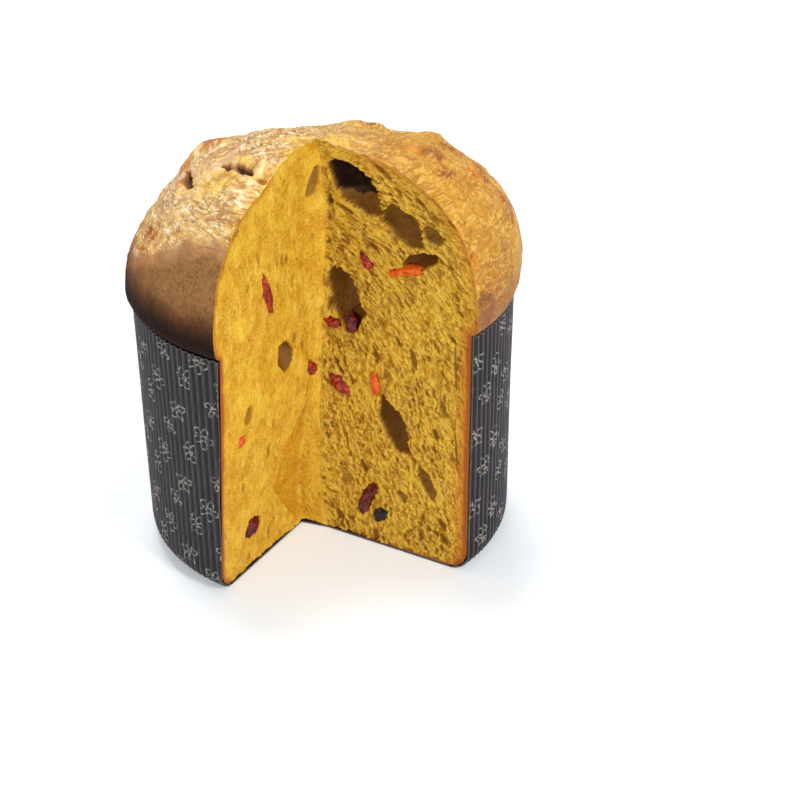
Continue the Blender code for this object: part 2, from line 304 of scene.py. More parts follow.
# Rows behind the paper, as shares of the turn from under the seam up to the top of the wall: they follow the
# foot of the notch and the rounded edge of the base
HIDDEN_ROWS = (
    0.0, 0.03, 0.06, 0.0866, 0.15, 0.24, 0.32, 0.345, 0.365,
    0.385, 0.405, 0.43, 0.48, 0.56, 0.66, 0.78, 0.9, 1.0,
)
OVERHANG_ROWS = 12
DOME_ROWS = 140
FACE_COLUMNS = 186
FACE_ROWS = 500
# More of the left face's columns go beside the seam: shares of the columns, then of the way
LEFT_SPACING = ((0, 0.15, 1), (0, 0.05, 1))
OUTLINE_POINTS = 260
FRUIT_ROWS = 30
FRUIT_COLUMNS = 44
CASE_COLUMNS_PER_FLUTE = 8
# Rounds of halving that find the skin along a ray, the farthest it can be, and rounds that settle the
# left edge
HALVINGS = 26
FARTHEST_SKIN = 160.0
SETTLING_ROUNDS = 14


# Numbers: noise and cells


LATTICE_FACTORS = (374761393, 668265263, 1440662683, 974634777)
MIXING_FACTOR = 1274126177
ALL_BITS = 0xFFFFFFFF
# The level at which flat faces cut through the noise
FLAT_SLICE = 7.31


def lattice(ix, iy, iz, seed):
    """A fixed random number from 0 to 1 for each whole-numbered place, by mixing its bits."""
    factor_x, factor_y, factor_z, factor_seed = LATTICE_FACTORS
    mixed = (ix * factor_x + iy * factor_y + iz * factor_z + seed * factor_seed) & ALL_BITS
    mixed = ((mixed ^ (mixed >> 13)) * MIXING_FACTOR) & ALL_BITS
    return (mixed ^ (mixed >> 16)) / (ALL_BITS + 1.0)


def drift(points, size, seed):
    """Smooth noise from -1 to 1: the lattice numbers of the eight corners round a point, blended by an S."""
    scaled = points / size
    corner = np.floor(scaled).astype(np.int64)
    part = scaled - corner
    part = part * part * (3 - 2 * part)
    total = np.zeros(points.shape[:-1])
    for dx, dy, dz in np.ndindex(2, 2, 2):
        share = np.abs(1 - dx - part[..., 0]) * np.abs(1 - dy - part[..., 1])
        share = share * np.abs(1 - dz - part[..., 2])
        total += share * lattice(corner[..., 0] + dx, corner[..., 1] + dy, corner[..., 2] + dz, seed)
    return total * 2 - 1


def rough(points, size, seed, octaves=3):
    """Smooth noise with finer and weaker noise added, each half the size and strength of the last."""
    total = 0.0
    for octave in range(octaves):
        total = total + drift(points, size / 2**octave, seed + octave) / 2**octave
    return total / (2 - 0.5 ** (octaves - 1))


def shaken(points, size, seeds, reach, octaves=2):
    """The points moved about by three noises of one size, by up to the reach in each direction."""
    return points + reach * np.stack([rough(points, size, seed, octaves) for seed in seeds], axis=-1)


def flat_noise(u, v, size_u, size_v, seed, octaves=3):
    """The same noise on a flat face, stretched by its two sizes."""
    place = np.stack([u / size_u, v / size_v, np.full(u.shape, FLAT_SLICE)], axis=-1)
    return rough(place, 1.0, seed, octaves)


def cells(u, v, seed):
    """Random cells on a flat face: distance to the nearest centre, and the cell's own number from 0 to 1."""
    iu, iv = np.floor(u).astype(np.int64), np.floor(v).astype(np.int64)
    near = np.full(u.shape, 9.0)
    number = np.zeros(u.shape)
    for du, dv in np.ndindex(3, 3):
        cu, cv = iu + du - 1, iv + dv - 1
        centre_u, centre_v, own = (lattice(cu, cv, level, seed) for level in range(3))
        away = np.hypot(cu + centre_u - u, cv + centre_v - v)
        number = np.where(away < near, own, number)
        near = np.minimum(near, away)
    return near, number


def ramp(value, low, high):
    """0 below low, 1 above high, and a smooth S between them."""
    share = np.clip((value - low) / (high - low), 0, 1)
    return share * share * (3 - 2 * share)


# The loaf's outer form


def wave(azimuth, mean, cos1, sin1, cos2=0.0, sin2=0.0):
    """A value that changes smoothly round the loaf."""
    first = cos1 * np.cos(azimuth) + sin1 * np.sin(azimuth)
    return mean + first + cos2 * np.cos(2 * azimuth) + sin2 * np.sin(2 * azimuth)


def case_radius(height):
    """Radius of the case's outside, which widens evenly from its base to its rim."""
    return CASE_BASE_RADIUS + (CASE_RIM_RADIUS - CASE_BASE_RADIUS) * height / CASE_HEIGHT


def bulge_height(azimuth):
    """Height of the loaf's widest place."""
    return np.maximum(wave(azimuth, *BULGE_HEIGHT), LOWEST_BULGE)


def loaf_excess(points, overhang=True):
    """Below 0 inside the loaf and above 0 outside.

    Over the bulge it is the superellipse of radius and height whose power is the fullness; under it, the
    distance past the wall, the rounded overhang and the rounded base edge.
    """
    x, y, z = points[..., 0], points[..., 1], points[..., 2]
    azimuth = np.arctan2(x, -y)
    for _ in range(2):
        bulge = bulge_height(azimuth)
        rise = np.clip((z - bulge) / (DOME_TOP - bulge), 0, 1.5)
        across_x = x - DOME_CENTRE_SHIFT[0] * rise**2
        across_y = y - DOME_CENTRE_SHIFT[1] * rise**2
        azimuth = np.arctan2(across_x, -across_y)
    fullness = wave(azimuth, *DOME_FULLNESS)
    widest = wave(azimuth, *DOME_RADIUS)
    over = (np.hypot(across_x, across_y) / widest) ** fullness + rise**fullness - 1
    wall = case_radius(np.minimum(z, CASE_HEIGHT)) - LOAF_INSET
    turned = 1 - np.clip((z - OVERHANG_START) / (bulge - OVERHANG_START), 0, 1)
    wall = wall + (widest - wall) * np.sqrt(1 - turned**2) * ((z > OVERHANG_START) & overhang)
    drop = np.clip((LOAF_FLOOR + LOAF_EDGE_RADIUS - z) / LOAF_EDGE_RADIUS, 0, 1)
    wall = wall - LOAF_EDGE_RADIUS * (1 - np.sqrt(1 - drop**2))
    under = np.where(z < LOAF_FLOOR, 1.0, np.hypot(x, y) - wall)
    return np.where((z > bulge) & overhang, over, under)


def ray_end(start, way, overhang=True):
    """Where rays from inside the loaf meet its skin: each is halved until it does."""
    low, high = np.zeros(way.shape[:-1]), np.full(way.shape[:-1], FARTHEST_SKIN)
    for _ in range(HALVINGS):
        middle = (low + high) / 2
        outside = loaf_excess(start + way * middle[..., None], overhang) > 0
        high = np.where(outside, middle, high)
        low = np.where(outside, low, middle)
    return start + way * low[..., None]


def skin(azimuth, row):
    """Points of the loaf's skin in the upright half plane at an azimuth from the seam.

    Rows 0 to 1 turn a ray up from under the seam to the top of the wall. Rows 1 to 2 follow the angle of the
    overhang's quarter ellipse at its own height. Rows 2 to 3 turn a ray up from the widest place to the top.
    """
    hub = np.array((*SEAM, HUB_HEIGHT))
    up = np.array((0.0, 0.0, 1.0))
    level = np.stack([np.sin(azimuth), -np.cos(azimuth), np.zeros_like(azimuth)], axis=-1)
    wall_top = ray_end(hub + up * (OVERHANG_START - HUB_HEIGHT), level, False)

    def toward(elevation):
        return level * np.cos(elevation)[..., None] + up * np.sin(elevation)[..., None]

    def elevation_of(point):
        return np.arctan2(point[..., 2] - HUB_HEIGHT, np.linalg.norm(point[..., :2] - SEAM, axis=-1))

    def overhang_at(share):
        point = wall_top
        for _ in range(3):
            bulge = bulge_height(np.arctan2(point[..., 0], -point[..., 1]))
            height = OVERHANG_START + (bulge - OVERHANG_START) * (1 - np.cos(share * math.pi / 2))
            point = ray_end(hub + (height - HUB_HEIGHT)[..., None] * up, level)
        return point

    below, above = -math.pi / 2, math.pi / 2
    rim = elevation_of(wall_top)
    wall = ray_end(hub, toward(below + (rim - below) * np.clip(row, 0, 1)), False)
    round_under = overhang_at(np.clip(row - 1, 0, 1))
    widest = elevation_of(overhang_at(np.ones_like(row)))
    dome = ray_end(hub, toward(widest + (above - widest) * np.clip(row - 2, 0, 1)))
    row = row[..., None]
    return np.where(row <= 1, wall, np.where(row <= 2, round_under, dome))


def unit(vectors):
    """The vectors at length 1."""
    return vectors / np.linalg.norm(vectors, axis=-1, keepdims=True)


def swell(points):
    """Moves crust points up and out by the named swells and dips, each a bell curve round its place."""
    moved = points.copy()
    outward = unit(points - SWELL_CENTRE)
    share = ramp(points[..., 2], *SWELL_START)
    for place, size, height in SWELLS:
        away = np.linalg.norm(points - place, axis=-1) / size
        moved += outward * (share * height * np.exp(-(away**2)))[..., None]
    return moved


def grid_normals(points):
    """Unit normals of a grid: the cross product of its central differences, pointing off the loaf's axis."""
    normal = np.cross(np.gradient(points, axis=1), np.gradient(points, axis=0))
    length = np.linalg.norm(normal, axis=-1, keepdims=True)
    outward = unit(points - LOAF_CENTRE)
    normal = np.where(length > 1e-6, normal / np.maximum(length, 1e-6), outward)
    return normal * np.sign((normal * outward).sum(axis=-1, keepdims=True) + 1e-9)


# The cut faces


def direction(azimuth):
    """The level direction at an azimuth in degrees, which is 0 towards the opening of the cut."""
    return np.array((math.sin(math.radians(azimuth)), -math.cos(math.radians(azimuth))))


def along_of(side):
    """The level direction out from the seam along a cut face."""
    return direction(LEFT_AZIMUTH if side == "left" else RIGHT_AZIMUTH)


def inward_of(side):
    """The level direction from a cut face into the bread."""
    along = along_of(side)
    return np.array((along[1], -along[0])) if side == "left" else np.array((-along[1], along[0]))


def left_depth(distance, height):
    """How far the left cut face stands back from the upright plane through the seam."""
    hollow = np.interp(height, CUT_HEIGHTS, HOLLOW_AT_SEAM)
    lean = np.interp(height, CUT_HEIGHTS, LEAN_AT_CORNER)
    share = (distance - SEAM_STEP) / (CORNER_REACH - SEAM_STEP)
    back = hollow + (lean - hollow) * share
    return back * np.clip(distance / SEAM_STEP, 0, 1)


def back_of(side, distance, height):
    """How far a cut face stands back from its plane: only the left one does."""
    return left_depth(distance, height) if side == "left" else np.zeros_like(distance)


def face_place(side, distance, height, depth):
    """Points of a cut face: out from the seam, up, and back into the bread by a depth."""
    out, back = np.multiply.outer(distance, along_of(side)), np.multiply.outer(depth, inward_of(side))
    flat = SEAM + out + back
    return np.concatenate([flat, np.asarray(height)[..., None] * np.ones(flat.shape[:-1] + (1,))], axis=-1)


def face_axes(side, points):
    """Distance from the seam and height of points near a cut face."""
    return (points[..., :2] - SEAM) @ along_of(side), points[..., 2]


def turned(du, dv, tilt):
    """Offsets on a face in the axes of a tilted mark: along its length, and across it."""
    turn = math.radians(tilt)
    return du * math.cos(turn) + dv * math.sin(turn), dv * math.cos(turn) - du * math.sin(turn)


def dent(u, v, pore):
    """Depth inside one pore, and how far inside it a point is.

    The pore is a bowl over a tilted ellipse. Its depth is the inside share to a power under one, so the wall
    is steep, and it grows upwards, so the roof is steeper than the floor.
    """
    cu, cv, length, width, tilt, depth, _ = pore
    along, across = turned(u - cu, v - cv, tilt)
    wobble = 1 + 0.62 * flat_noise(u, v, 4.2, 4.2, int(cu * 7 + cv), 4)
    inside = np.clip(1 - ((along / length) ** 2 + (across / width) ** 2) * wobble, 0, 1)
    tallness = max(width, length * abs(math.sin(math.radians(tilt))))
    upper = np.clip((v - cv) / tallness, -1, 1)
    shallow = max(0.0, 1 - depth / STEEP_DEPTH)
    bowl = depth * inside ** (0.58 + 0.4 * shallow) * (1 + 0.25 * upper)
    return bowl, ramp(inside, 0.0, 0.06 + 0.6 * shallow)


def patch(points, marks):
    """1 inside any of the marks on the crust and 0 outside, with a ragged edge from the noise."""
    ragged = 0.80 * rough(points, 7.0, 53, 4)
    found = np.zeros(points.shape[:-1])
    for place, size in marks:
        away = np.linalg.norm((points - place) / size, axis=-1)
        found = np.maximum(found, 1 - ramp(away + ragged, 0.50, 1.15))
    return found


def strip_distance(points, start, end):
    """Distance of points from a straight strip between two places, and their share of the way along it."""
    way = np.subtract(end, start)
    share = np.clip((points - start) @ way / (way @ way), 0, 1)
    return np.linalg.norm(points - start - share[..., None] * way, axis=-1), share


def crack_share(points, start, end, width):
    """1 along the middle of a crack and 0 outside: it winds, narrows to both ends and has a ragged edge."""
    close = np.linalg.norm(points - np.add(start, end) / 2, axis=-1) < CRACK_REACH
    near = points[close]
    away, share = strip_distance(shaken(near, 6.0, (611, 613, 617), 2.2, 3), start, end)
    narrow = 0.30 + 0.70 * np.sqrt(1 - (2 * share - 1) ** 2)
    ragged = 1 + 0.6 * rough(near, 2.6, 59, 4)
    found = np.zeros(points.shape[:-1])
    found[close] = np.exp(-((away / (width * narrow) * ragged) ** 4))
    return found


def low_brown(points):
    """1 on the brown lower part of the crust and 0 above its edge, which rises towards the left cut."""
    azimuth = np.degrees(np.arctan2(points[..., 0], -points[..., 1]))
    edge = np.interp(azimuth, BROWN_AZIMUTHS, BROWN_HEIGHTS)
    return 1 - ramp(points[..., 2] - edge + 6.0 * rough(points, 9.0, 401, 4), -6.5, 6.5)


def leftness(points):
    """1 at the loaf's left and 0 at its right."""
    return np.clip(0.5 - points[..., 0] / 130.0, 0, 1)


def ring_place(points):
    """Places for marks that run round the loaf.

    Level distances count a third and the arc over the dome in full, but the two are alike near the top.
    """
    radius = np.hypot(points[..., 0], points[..., 1])
    arc = CASE_RIM_RADIUS * np.arctan2(points[..., 2] - ARC_CENTRE_HEIGHT, radius)
    off_top = ramp(radius, 12.0, 50.0)
    level = points[..., :2] / (1 + 2 * off_top)[..., None]
    return np.concatenate([level, (arc * (0.6 + 0.4 * off_top))[..., None]], axis=-1)


def folds(points):
    """Leathery folds, 0 in the creases and about 1 on the swollen skin, and how near a crease a point is.

    Each size of fold is the distance of a warped noise from zero, and a finer one is weaker where the
    coarser one is already low, as small wrinkles gather on the swollen skin.
    """
    squeezed = ring_place(shaken(points, 12.0, (301, 307, 311), 4.0)) * (1.7, 1.7, 1.0)
    coarse, middle, small = (np.abs(rough(squeezed, *fold)) for fold in FOLDS)
    height = 1.5 * coarse + 0.9 * middle * (0.35 + coarse) + 0.5 * small * (0.3 + middle)
    # deep and lesser mark the creases, which the finish paints with shade
    deep = np.exp(-((coarse / 0.055) ** 2))
    lesser = np.exp(-((middle / 0.05) ** 2)) * ramp(coarse, 0.05, 0.3)
    return height - 0.75, np.clip(deep + 0.55 * lesser, 0, 1)


def leathery(points):
    """How strongly the skin is folded: most on the left shoulder, less on the right, little where brown."""
    uneven = 0.8 + 0.6 * rough(points, 20.0, 313, 2)
    left = ramp(leftness(points), 0.15, 0.7)
    right_flank = (1 - left) * (1 - ramp(points[..., 2], 168.0, 184.0))
    spread_out = np.clip(uneven, 0.3, 1.4) * (0.82 + 0.33 * left) * (1 - 0.20 * right_flank)
    return spread_out * (1 - 0.85 * low_brown(points))


def marks_relief(points):
    """Height of the crust's named marks: cracks cut in, and lips and the dip as bell curves."""
    relief = np.zeros(points.shape[:-1])
    for start, end, width, depth in CRACKS:
        relief -= depth * crack_share(points, start, end, width)
    uneven = 1 + 0.3 * rough(points, 5.0, 433, 2)
    for start, end, width, rise in LIPS:
        away, _ = strip_distance(points, start, end)
        relief += rise * np.exp(-((away / width) ** 2)) * uneven
    place, size, rise = SEAM_DIP
    away = np.linalg.norm(points - place, axis=-1)
    return relief + rise * np.exp(-((away / size) ** 2))


def crust_relief(points):
    """Height of the crust's own relief in millimetres, and its creases by themselves.

    Broad waves and fine grain, folds and wrinkles where the skin is leathery, torn crumb where it is bare,
    and the named marks are added up, and fade in above the rim.
    """
    bare = patch(points, BARE_SKIN)
    crumbly = rough(points, 5.5, 41, 4)
    height, crease = folds(points)
    strength = leathery(points)
    low = low_brown(points)
    lines = rough(ring_place(shaken(points, 7.0, (411, 413, 417), 2.2)), 3.3, 421, 2)
    wrinkle = 1 - np.clip(np.abs(lines) / 0.30, 0, 1)
    relief = 0.6 * rough(points, 26.0, 11, 2) + 0.35 * rough(points, 7.0, 431, 2)
    relief += strength * (0.9 * height - 0.45 * crease - 0.60 * wrinkle**2)
    relief += 0.17 * rough(points, 1.7, 317, 2) * (0.5 + strength + low)
    relief += 0.45 * low * np.abs(rough(points, 4.0, 441, 3))
    relief += bare * (1.1 * crumbly - 0.7) + marks_relief(points)
    # mark: the share of painted shade in the creases, along the wrinkles and in the low spots of bare crumb
    mark = strength * (0.8 * crease + 0.55 * ramp(wrinkle, 0.5, 1.0)) + bare * ramp(-crumbly, 0.05, 0.5)
    return relief * ramp(points[..., 2], *RELIEF_START), np.clip(mark, 0, 1)


# Meshes


def signed_volume(points, faces):
    """Six times the volume that the faces enclose, below 0 where they point inward."""
    triangles = [(face[0], face[i], face[i + 1]) for face in faces for i in range(1, len(face) - 1)]
    corners = points[np.array(triangles)]
    return np.einsum("ij,ij->i", corners[:, 0], np.cross(corners[:, 1], corners[:, 2])).sum()


def mark_sharp(mesh, paths):
    """Marks the edges along paths of points sharp, so that the shading on their two sides stays apart."""
    ends = np.empty(len(mesh.edges) * 2, np.int64)
    mesh.edges.foreach_get("vertices", ends)
    ends = np.sort(ends.reshape(-1, 2), axis=1)
    pairs = np.concatenate([np.stack([path[:-1], path[1:]], axis=1) for path in map(np.array, paths)])
    pairs = np.sort(pairs, axis=1)
    size = len(mesh.vertices)
    flags = np.isin(ends[:, 0] * size + ends[:, 1], pairs[:, 0] * size + pairs[:, 1])
    mesh.attributes.new("sharp_edge", "BOOLEAN", "EDGE").data.foreach_set("value", flags)


def make_piece(name, points, faces, material, node, values=None, uv=None, sharp=None):
    """One piece of the visual model, from points in millimetres, with named values for each point."""
    if signed_volume(points, faces) < 0:
        faces = [tuple(reversed(face)) for face in faces]
    mesh = bpy.data.meshes.new(name)
    mesh.from_pydata((points * MM).tolist(), [], faces)
    mesh.update()
    mesh.polygons.foreach_set("use_smooth", np.full(len(mesh.polygons), True))
    for key, value in (values or {}).items():
        kind, field = ("FLOAT_VECTOR", "vector") if value.ndim == 2 else ("FLOAT", "value")
        mesh.attributes.new(key, kind, "POINT").data.foreach_set(field, value.astype(np.float32).ravel())
    if uv is not None:
        corner = np.empty(len(mesh.loops), np.int32)
        mesh.loops.foreach_get("vertex_index", corner)
        mesh.uv_layers.new(name="around").data.foreach_set("uv", uv[corner].astype(np.float32).ravel())
    if sharp is not None:
        mark_sharp(mesh, sharp)
    mesh.materials.append(material)
    piece = bpy.data.objects.new(name, mesh)
    bpy.context.scene.collection.objects.link(piece)
    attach(piece, "root")
    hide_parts(node)


def grid_faces(rows, columns, closed=False):
    """Four-cornered faces of a grid, row by row; a closed one joins the ends of its rows."""
    row, column = np.meshgrid(np.arange(rows - 1), np.arange(columns - 1 + closed), indexing="ij")
    low = row * columns + column
    side = row * columns + (column + 1) % columns
    corners = np.stack([low, side, side + columns, low + columns], axis=-1)
    return [tuple(face) for face in corners.reshape(-1, 4).tolist()]


def grid_border(rows, columns):
    """The border of a grid as one loop of its point numbers, which starts along the first row."""
    number = np.arange(rows * columns).reshape(rows, columns)
    sides = (number[0, :-1], number[:-1, -1], number[-1, :0:-1], number[:0:-1, 0])
    return np.concatenate(sides).tolist()


def close_behind(points, faces, loop, backward, middle):
    """Closes a skin out of sight: its edge loop is carried back, then gathered into one inner point."""
    count = len(points)
    inner = points[loop] + backward
    inner = inner + (middle - inner) * 0.10
    size = len(loop)
    step = [(i, (i + 1) % size) for i in range(size)]
    faces += [(loop[j], loop[i], count + i, count + j) for i, j in step]
    faces += [(count + j, count + i, count + size) for i, j in step]
    return np.concatenate([points, inner, [middle]]), faces


# Crust


def crust_rows():
    """Row places: 0 under the seam, 1 at the wall's top, 2 at the bulge's widest, 3 above the seam."""
    overhang = 1 + np.linspace(0, 1, OVERHANG_ROWS + 1)[1:]
    dome = 2 + np.linspace(0, 1, DOME_ROWS + 1)[1:]
    return np.concatenate([HIDDEN_ROWS, overhang, dome])


def left_border_azimuth(rows):
    """Where the leaning left face meets the skin, row by row, found by going round until it settles."""
    azimuth = np.full(rows.shape, math.radians(LEFT_AZIMUTH + 360))
    for _ in range(SETTLING_ROUNDS):
        points = skin(azimuth, rows)
        distance, height = face_axes("left", points)
        place = face_place("left", distance, height, left_depth(distance, height))
        azimuth = np.arctan2(place[..., 0] - SEAM[0], -(place[..., 1] - SEAM[1])) % (2 * math.pi)
        azimuth = np.where(np.abs(distance) < 0.5, math.radians(LEFT_AZIMUTH + 360), azimuth)
    return azimuth


def crust_surface():
    """The skin: azimuth round the seam from the right face to the left one, by rows from foot to top."""
    rows = crust_rows()
    last = left_border_azimuth(rows)
    share = np.interp(np.linspace(0, 1, CRUST_COLUMNS), CRUST_SPACING[1], CRUST_SPACING[0])
    first = math.radians(RIGHT_AZIMUTH)
    azimuth = first + (last[:, None] - first) * share[None, :]
    points = skin(azimuth, rows[:, None] + 0 * azimuth)
    points[0] = (*SEAM, LOAF_FLOOR)
    points[-1] = points[-1].mean(axis=0)
    points = swell(points)
    normal = grid_normals(points)
    relief, crease_shade = crust_relief(points)
    relief[-1] = relief[-1].mean()
    moved = points + normal * relief[..., None]
    moved[-1] = moved[-1].mean(axis=0)
    for column, side in ((0, "right"), (-1, "left")):
        distance, height = face_axes(side, moved[:, column])
        moved[:, column] = face_place(side, distance, height, back_of(side, distance, height))
    return moved, points, crease_shade


def crust_marks(points, crease_shade):
    """The crust's values for its finish, one for each point."""
    height = points[:, 2]
    left = ramp(leftness(points), 0.15, 0.6)
    low = low_brown(points)
    bare = patch(points, BARE_SKIN)
    # Darker for deeper cracks: the dark middle is painted shade in the crack
    pits = np.zeros(len(points))
    for start, end, width, depth in CRACKS:
        pits = np.maximum(pits, crack_share(points, start, end, width) * min(1.0, depth / 3.0))
    # Darker towards the paper rim under the bulge: the finish paints this near black, partly as browner
    # crust and partly as painted shade under the overhang
    under = 1 - ramp(height + 3.0 * rough(points, 14.0, 61, 3), 124.0, 150.0)
    behind_cut = (points[:, :2] - SEAM) @ inward_of("left")
    along_cut = (points[:, :2] - SEAM) @ along_of("left")
    beside_cut = 1 - ramp(behind_cut + 5.0 * rough(points, 7.0, 461, 4), 0.5, 7.5)
    beside_cut = beside_cut * ramp(height, 166.0, 178.0) * ramp(along_cut, -3.0, 2.0)
    high_up = ramp(height + 8 * rough(points, 16.0, 331, 2), 156.0, 176.0)
    return {
        "bare": np.maximum(bare, beside_cut),
        "under": under * (0.25 + 0.75 * left),
        "low": low * (0.30 + 0.70 * left),
        "bake": crust_bake(points),
        # crease: painted shade in the creases
        "crease": crease_shade,
        "wrinkle": leathery(points) * (1 - 0.7 * bare),
        # pale: the cream of the left shoulder's skin, partly its own tone and partly painted sheen where the
        # top catches the light
        "pale": left * (1 - low) * high_up * (1 - patch(points, BROWN_SKIN)),
        "golden": 1 - ramp(leftness(points) + 0.10 * rough(points, 14.0, 337, 3), 0.30, 0.62),
        "ring": ring_place(points) * MM,
        "orange": patch(points, ORANGE_SKIN) * (1 - beside_cut),
        "skin_pit": pits,
    }


def build_crust(moved, still, crease_shade, material):
    """The skin with one point for its foot and one for its top, its cut sides closed behind the crumb.

    Its values are worked out where the skin lay before its relief was added.
    """
    rows, columns = moved.shape[:2]

    def listed(grid):
        return np.concatenate([grid[1:-1].reshape(-1, *grid.shape[2:]), grid[0, :1], grid[-1, :1]])

    points = listed(moved)
    foot, top = len(points) - 2, len(points) - 1
    last = (rows - 3) * columns
    faces = grid_faces(rows - 2, columns)
    faces += [(foot, i + 1, i) for i in range(columns - 1)]
    faces += [(top, last + i, last + i + 1) for i in range(columns - 1)]
    right = list(range(0, foot, columns))
    left = [i + columns - 1 for i in right]
    loop = right + [top] + left[::-1] + [foot]
    into_right = np.append(inward_of("right"), 0.0) * CRUST_BACKING
    into_left = np.append(inward_of("left"), 0.0) * CRUST_BACKING
    both = (into_right + into_left) / 1.2
    backward = [into_right] * len(right) + [both - (0, 0, 6)] + [into_left] * len(left) + [both]
    core = np.array(CRUST_CORE)
    points, faces = close_behind(points, faces, loop, np.array(backward), core)
    hidden = len(points) - top - 1
    flat = np.concatenate([listed(still), np.repeat(core[None], hidden, axis=0)])
    values = crust_marks(flat, np.concatenate([listed(crease_shade), np.zeros(hidden)]))
    make_piece("crust", points, faces, material, "bread", values, sharp=[loop + loop[:1]])


def crust_bake(points):
    """How brown the crust is, 0 to 1: cream on the left shoulder, golden on the right, in soft patches."""
    left = ramp(leftness(points), 0.25, 0.85)
    bake = 0.26 - 0.10 * left + 0.14 * (1 - ramp(points[:, 2], 136.0, 168.0))
    bake = bake + 0.24 * rough(points, 15.0, 71, 3) + 0.20 * rough(points, 5.0, 73, 3)
    return np.clip(bake + 0.34 * patch(points, BROWN_SKIN), 0, 1)


# Crumb


def coons(left, right, bottom, top):
    """A patch between four edges: the two straight blends of facing edges, less that of the corners."""
    u = np.linspace(0, 1, bottom.shape[0])[None, :, None]
    v = np.linspace(0, 1, left.shape[0])[:, None, None]
    across = (1 - u) * left[:, None] + u * right[:, None]
    up = (1 - v) * bottom[None] + v * top[None]
    low_corners = (1 - u) * (1 - v) * bottom[0] + u * (1 - v) * bottom[-1]
    high_corners = (1 - u) * v * top[0] + u * v * top[-1]
    return across + up - (low_corners + high_corners)


def spread(curve, share):
    """Points of a curve at the given shares of its length."""
    length = np.concatenate([[0], np.cumsum(np.linalg.norm(np.diff(curve, axis=0), axis=1))])
    place = share * length[-1]
    return np.stack([np.interp(place, length, curve[:, axis]) for axis in range(curve.shape[1])], axis=1)


def face_grid(side, border):
    """Distance and height of every point of a cut face, and the outline that the crust leaves for it."""
    distance, height = face_axes(side, border)
    outline = np.stack([distance, height], axis=1)
    outline[0, 0] = 0
    outline[-1, 0] = 0
    base_edge = int(np.argmax(outline[:, 1] > LOAF_FLOOR + 0.05))
    shoulder = int(np.argmax((outline[:, 1] > SHOULDER_HEIGHT) & (outline[:, 0] < SHOULDER_REACH)))
    share = np.linspace(0, 1, FACE_COLUMNS)
    if side == "left":
        share = np.interp(share, *LEFT_SPACING)
    bottom = spread(outline[:base_edge], share)
    right = spread(outline[base_edge - 1 : shoulder + 1], np.linspace(0, 1, FACE_ROWS))
    top = spread(outline[shoulder:][::-1], share)
    left = np.stack([np.zeros(FACE_ROWS), np.linspace(bottom[0, 1], top[0, 1], FACE_ROWS)], axis=1)
    grid = coons(left, right, bottom, top)
    return grid[..., 0], grid[..., 1], outline


def edge_distance(distance, height, outline):
    """Distance in millimetres from each point of a face to the crust."""
    curve = spread(outline, np.linspace(0, 1, OUTLINE_POINTS))
    curve = curve[curve[:, 1] > 2.0]
    flat = np.stack([distance.ravel(), height.ravel()], axis=1)
    nearest = np.full(len(flat), 1e9)
    for start in range(0, len(curve), 20):
        gap = flat[:, None] - curve[None, start : start + 20]
        nearest = np.minimum(nearest, (gap**2).sum(axis=2).min(axis=1))
    return np.sqrt(nearest).reshape(distance.shape)


def flow(side, distance, height):
    """Place across and along the crumb's grain.

    It is upright on the left face. On the right face it leans low down and runs in arcs near the top.
    """
    lift = np.maximum(height - 95.0, 0)
    radius = np.hypot(distance + 40.0, lift)
    along = np.minimum(height, 95.0) + radius * np.arctan2(lift, distance + 40.0)
    warp_across = 1.5 * flat_noise(distance, height, 9.0, 12.0, 101, 3)
    warp_along = 2.5 * flat_noise(distance, height, 9.0, 12.0, 107, 2)
    if side == "left":
        return distance + warp_across, height + warp_along
    return radius + 0.26 * along + warp_across, along + warp_along


def open_cells(across, along, width, length, seed, share, depth):
    """Rounded pores: a share of the cells, hollowed by one less the squared distance from the centre."""
    near, number = cells(across / width, along / length, seed)
    bowl = np.clip(1 - (near / 0.58) ** 2, 0, 1) ** 0.7
    return depth * bowl * ramp(number, 1 - share, 1 - share * 0.6)


def crumb_texture(side, distance, height, edge):
    """Depth of the crumb's small pores, and the height of the web between them, in millimetres.

    The places are shaken by fine noise first, so that no pore keeps a clean outline.
    """
    across, along = flow(side, distance, height)
    across = across + 0.9 * flat_noise(distance, height, 2.2, 2.8, 151, 4)
    along = along + 1.3 * flat_noise(distance, height, 2.4, 2.4, 157, 4)
    open_share = 0.35 + 0.65 * ramp(edge, 1.0, 9.0)
    patchy = 0.75 + 0.6 * flat_noise(distance, height, 12.0, 18.0, 113, 2)
    width, length, rise = RIGHT_WEB if side == "right" else LEFT_WEB
    place = np.stack([across / width, along / length, 0 * across], axis=-1)
    web = rise * (0.4 - np.abs(rough(place, 1.0, 127, 3)))
    pits = np.zeros_like(distance)
    for cell in RIGHT_CELLS if side == "right" else LEFT_CELLS:
        pits = np.maximum(pits, open_cells(across, along, *cell)) + 0.15 * pits
    return pits * open_share * patchy, web


def seam_shift(height, top):
    """The seam's own line wanders: out towards the opening above the ledge, and a little to each side."""
    place = np.stack([0 * height, 0 * height, height], axis=-1)
    fade = ramp(top - height, 0.0, 7.0)
    out = (1.5 + 1.1 * rough(place, 8.0, 131, 3)) * ramp(height, 98.0, 122.0)
    aside = np.interp(height, SEAM_HEIGHTS, SEAM_ASIDE) + 0.9 * rough(place, 11.0, 137, 3)
    return out * fade, aside * fade * ramp(height, 2.0, 10.0)


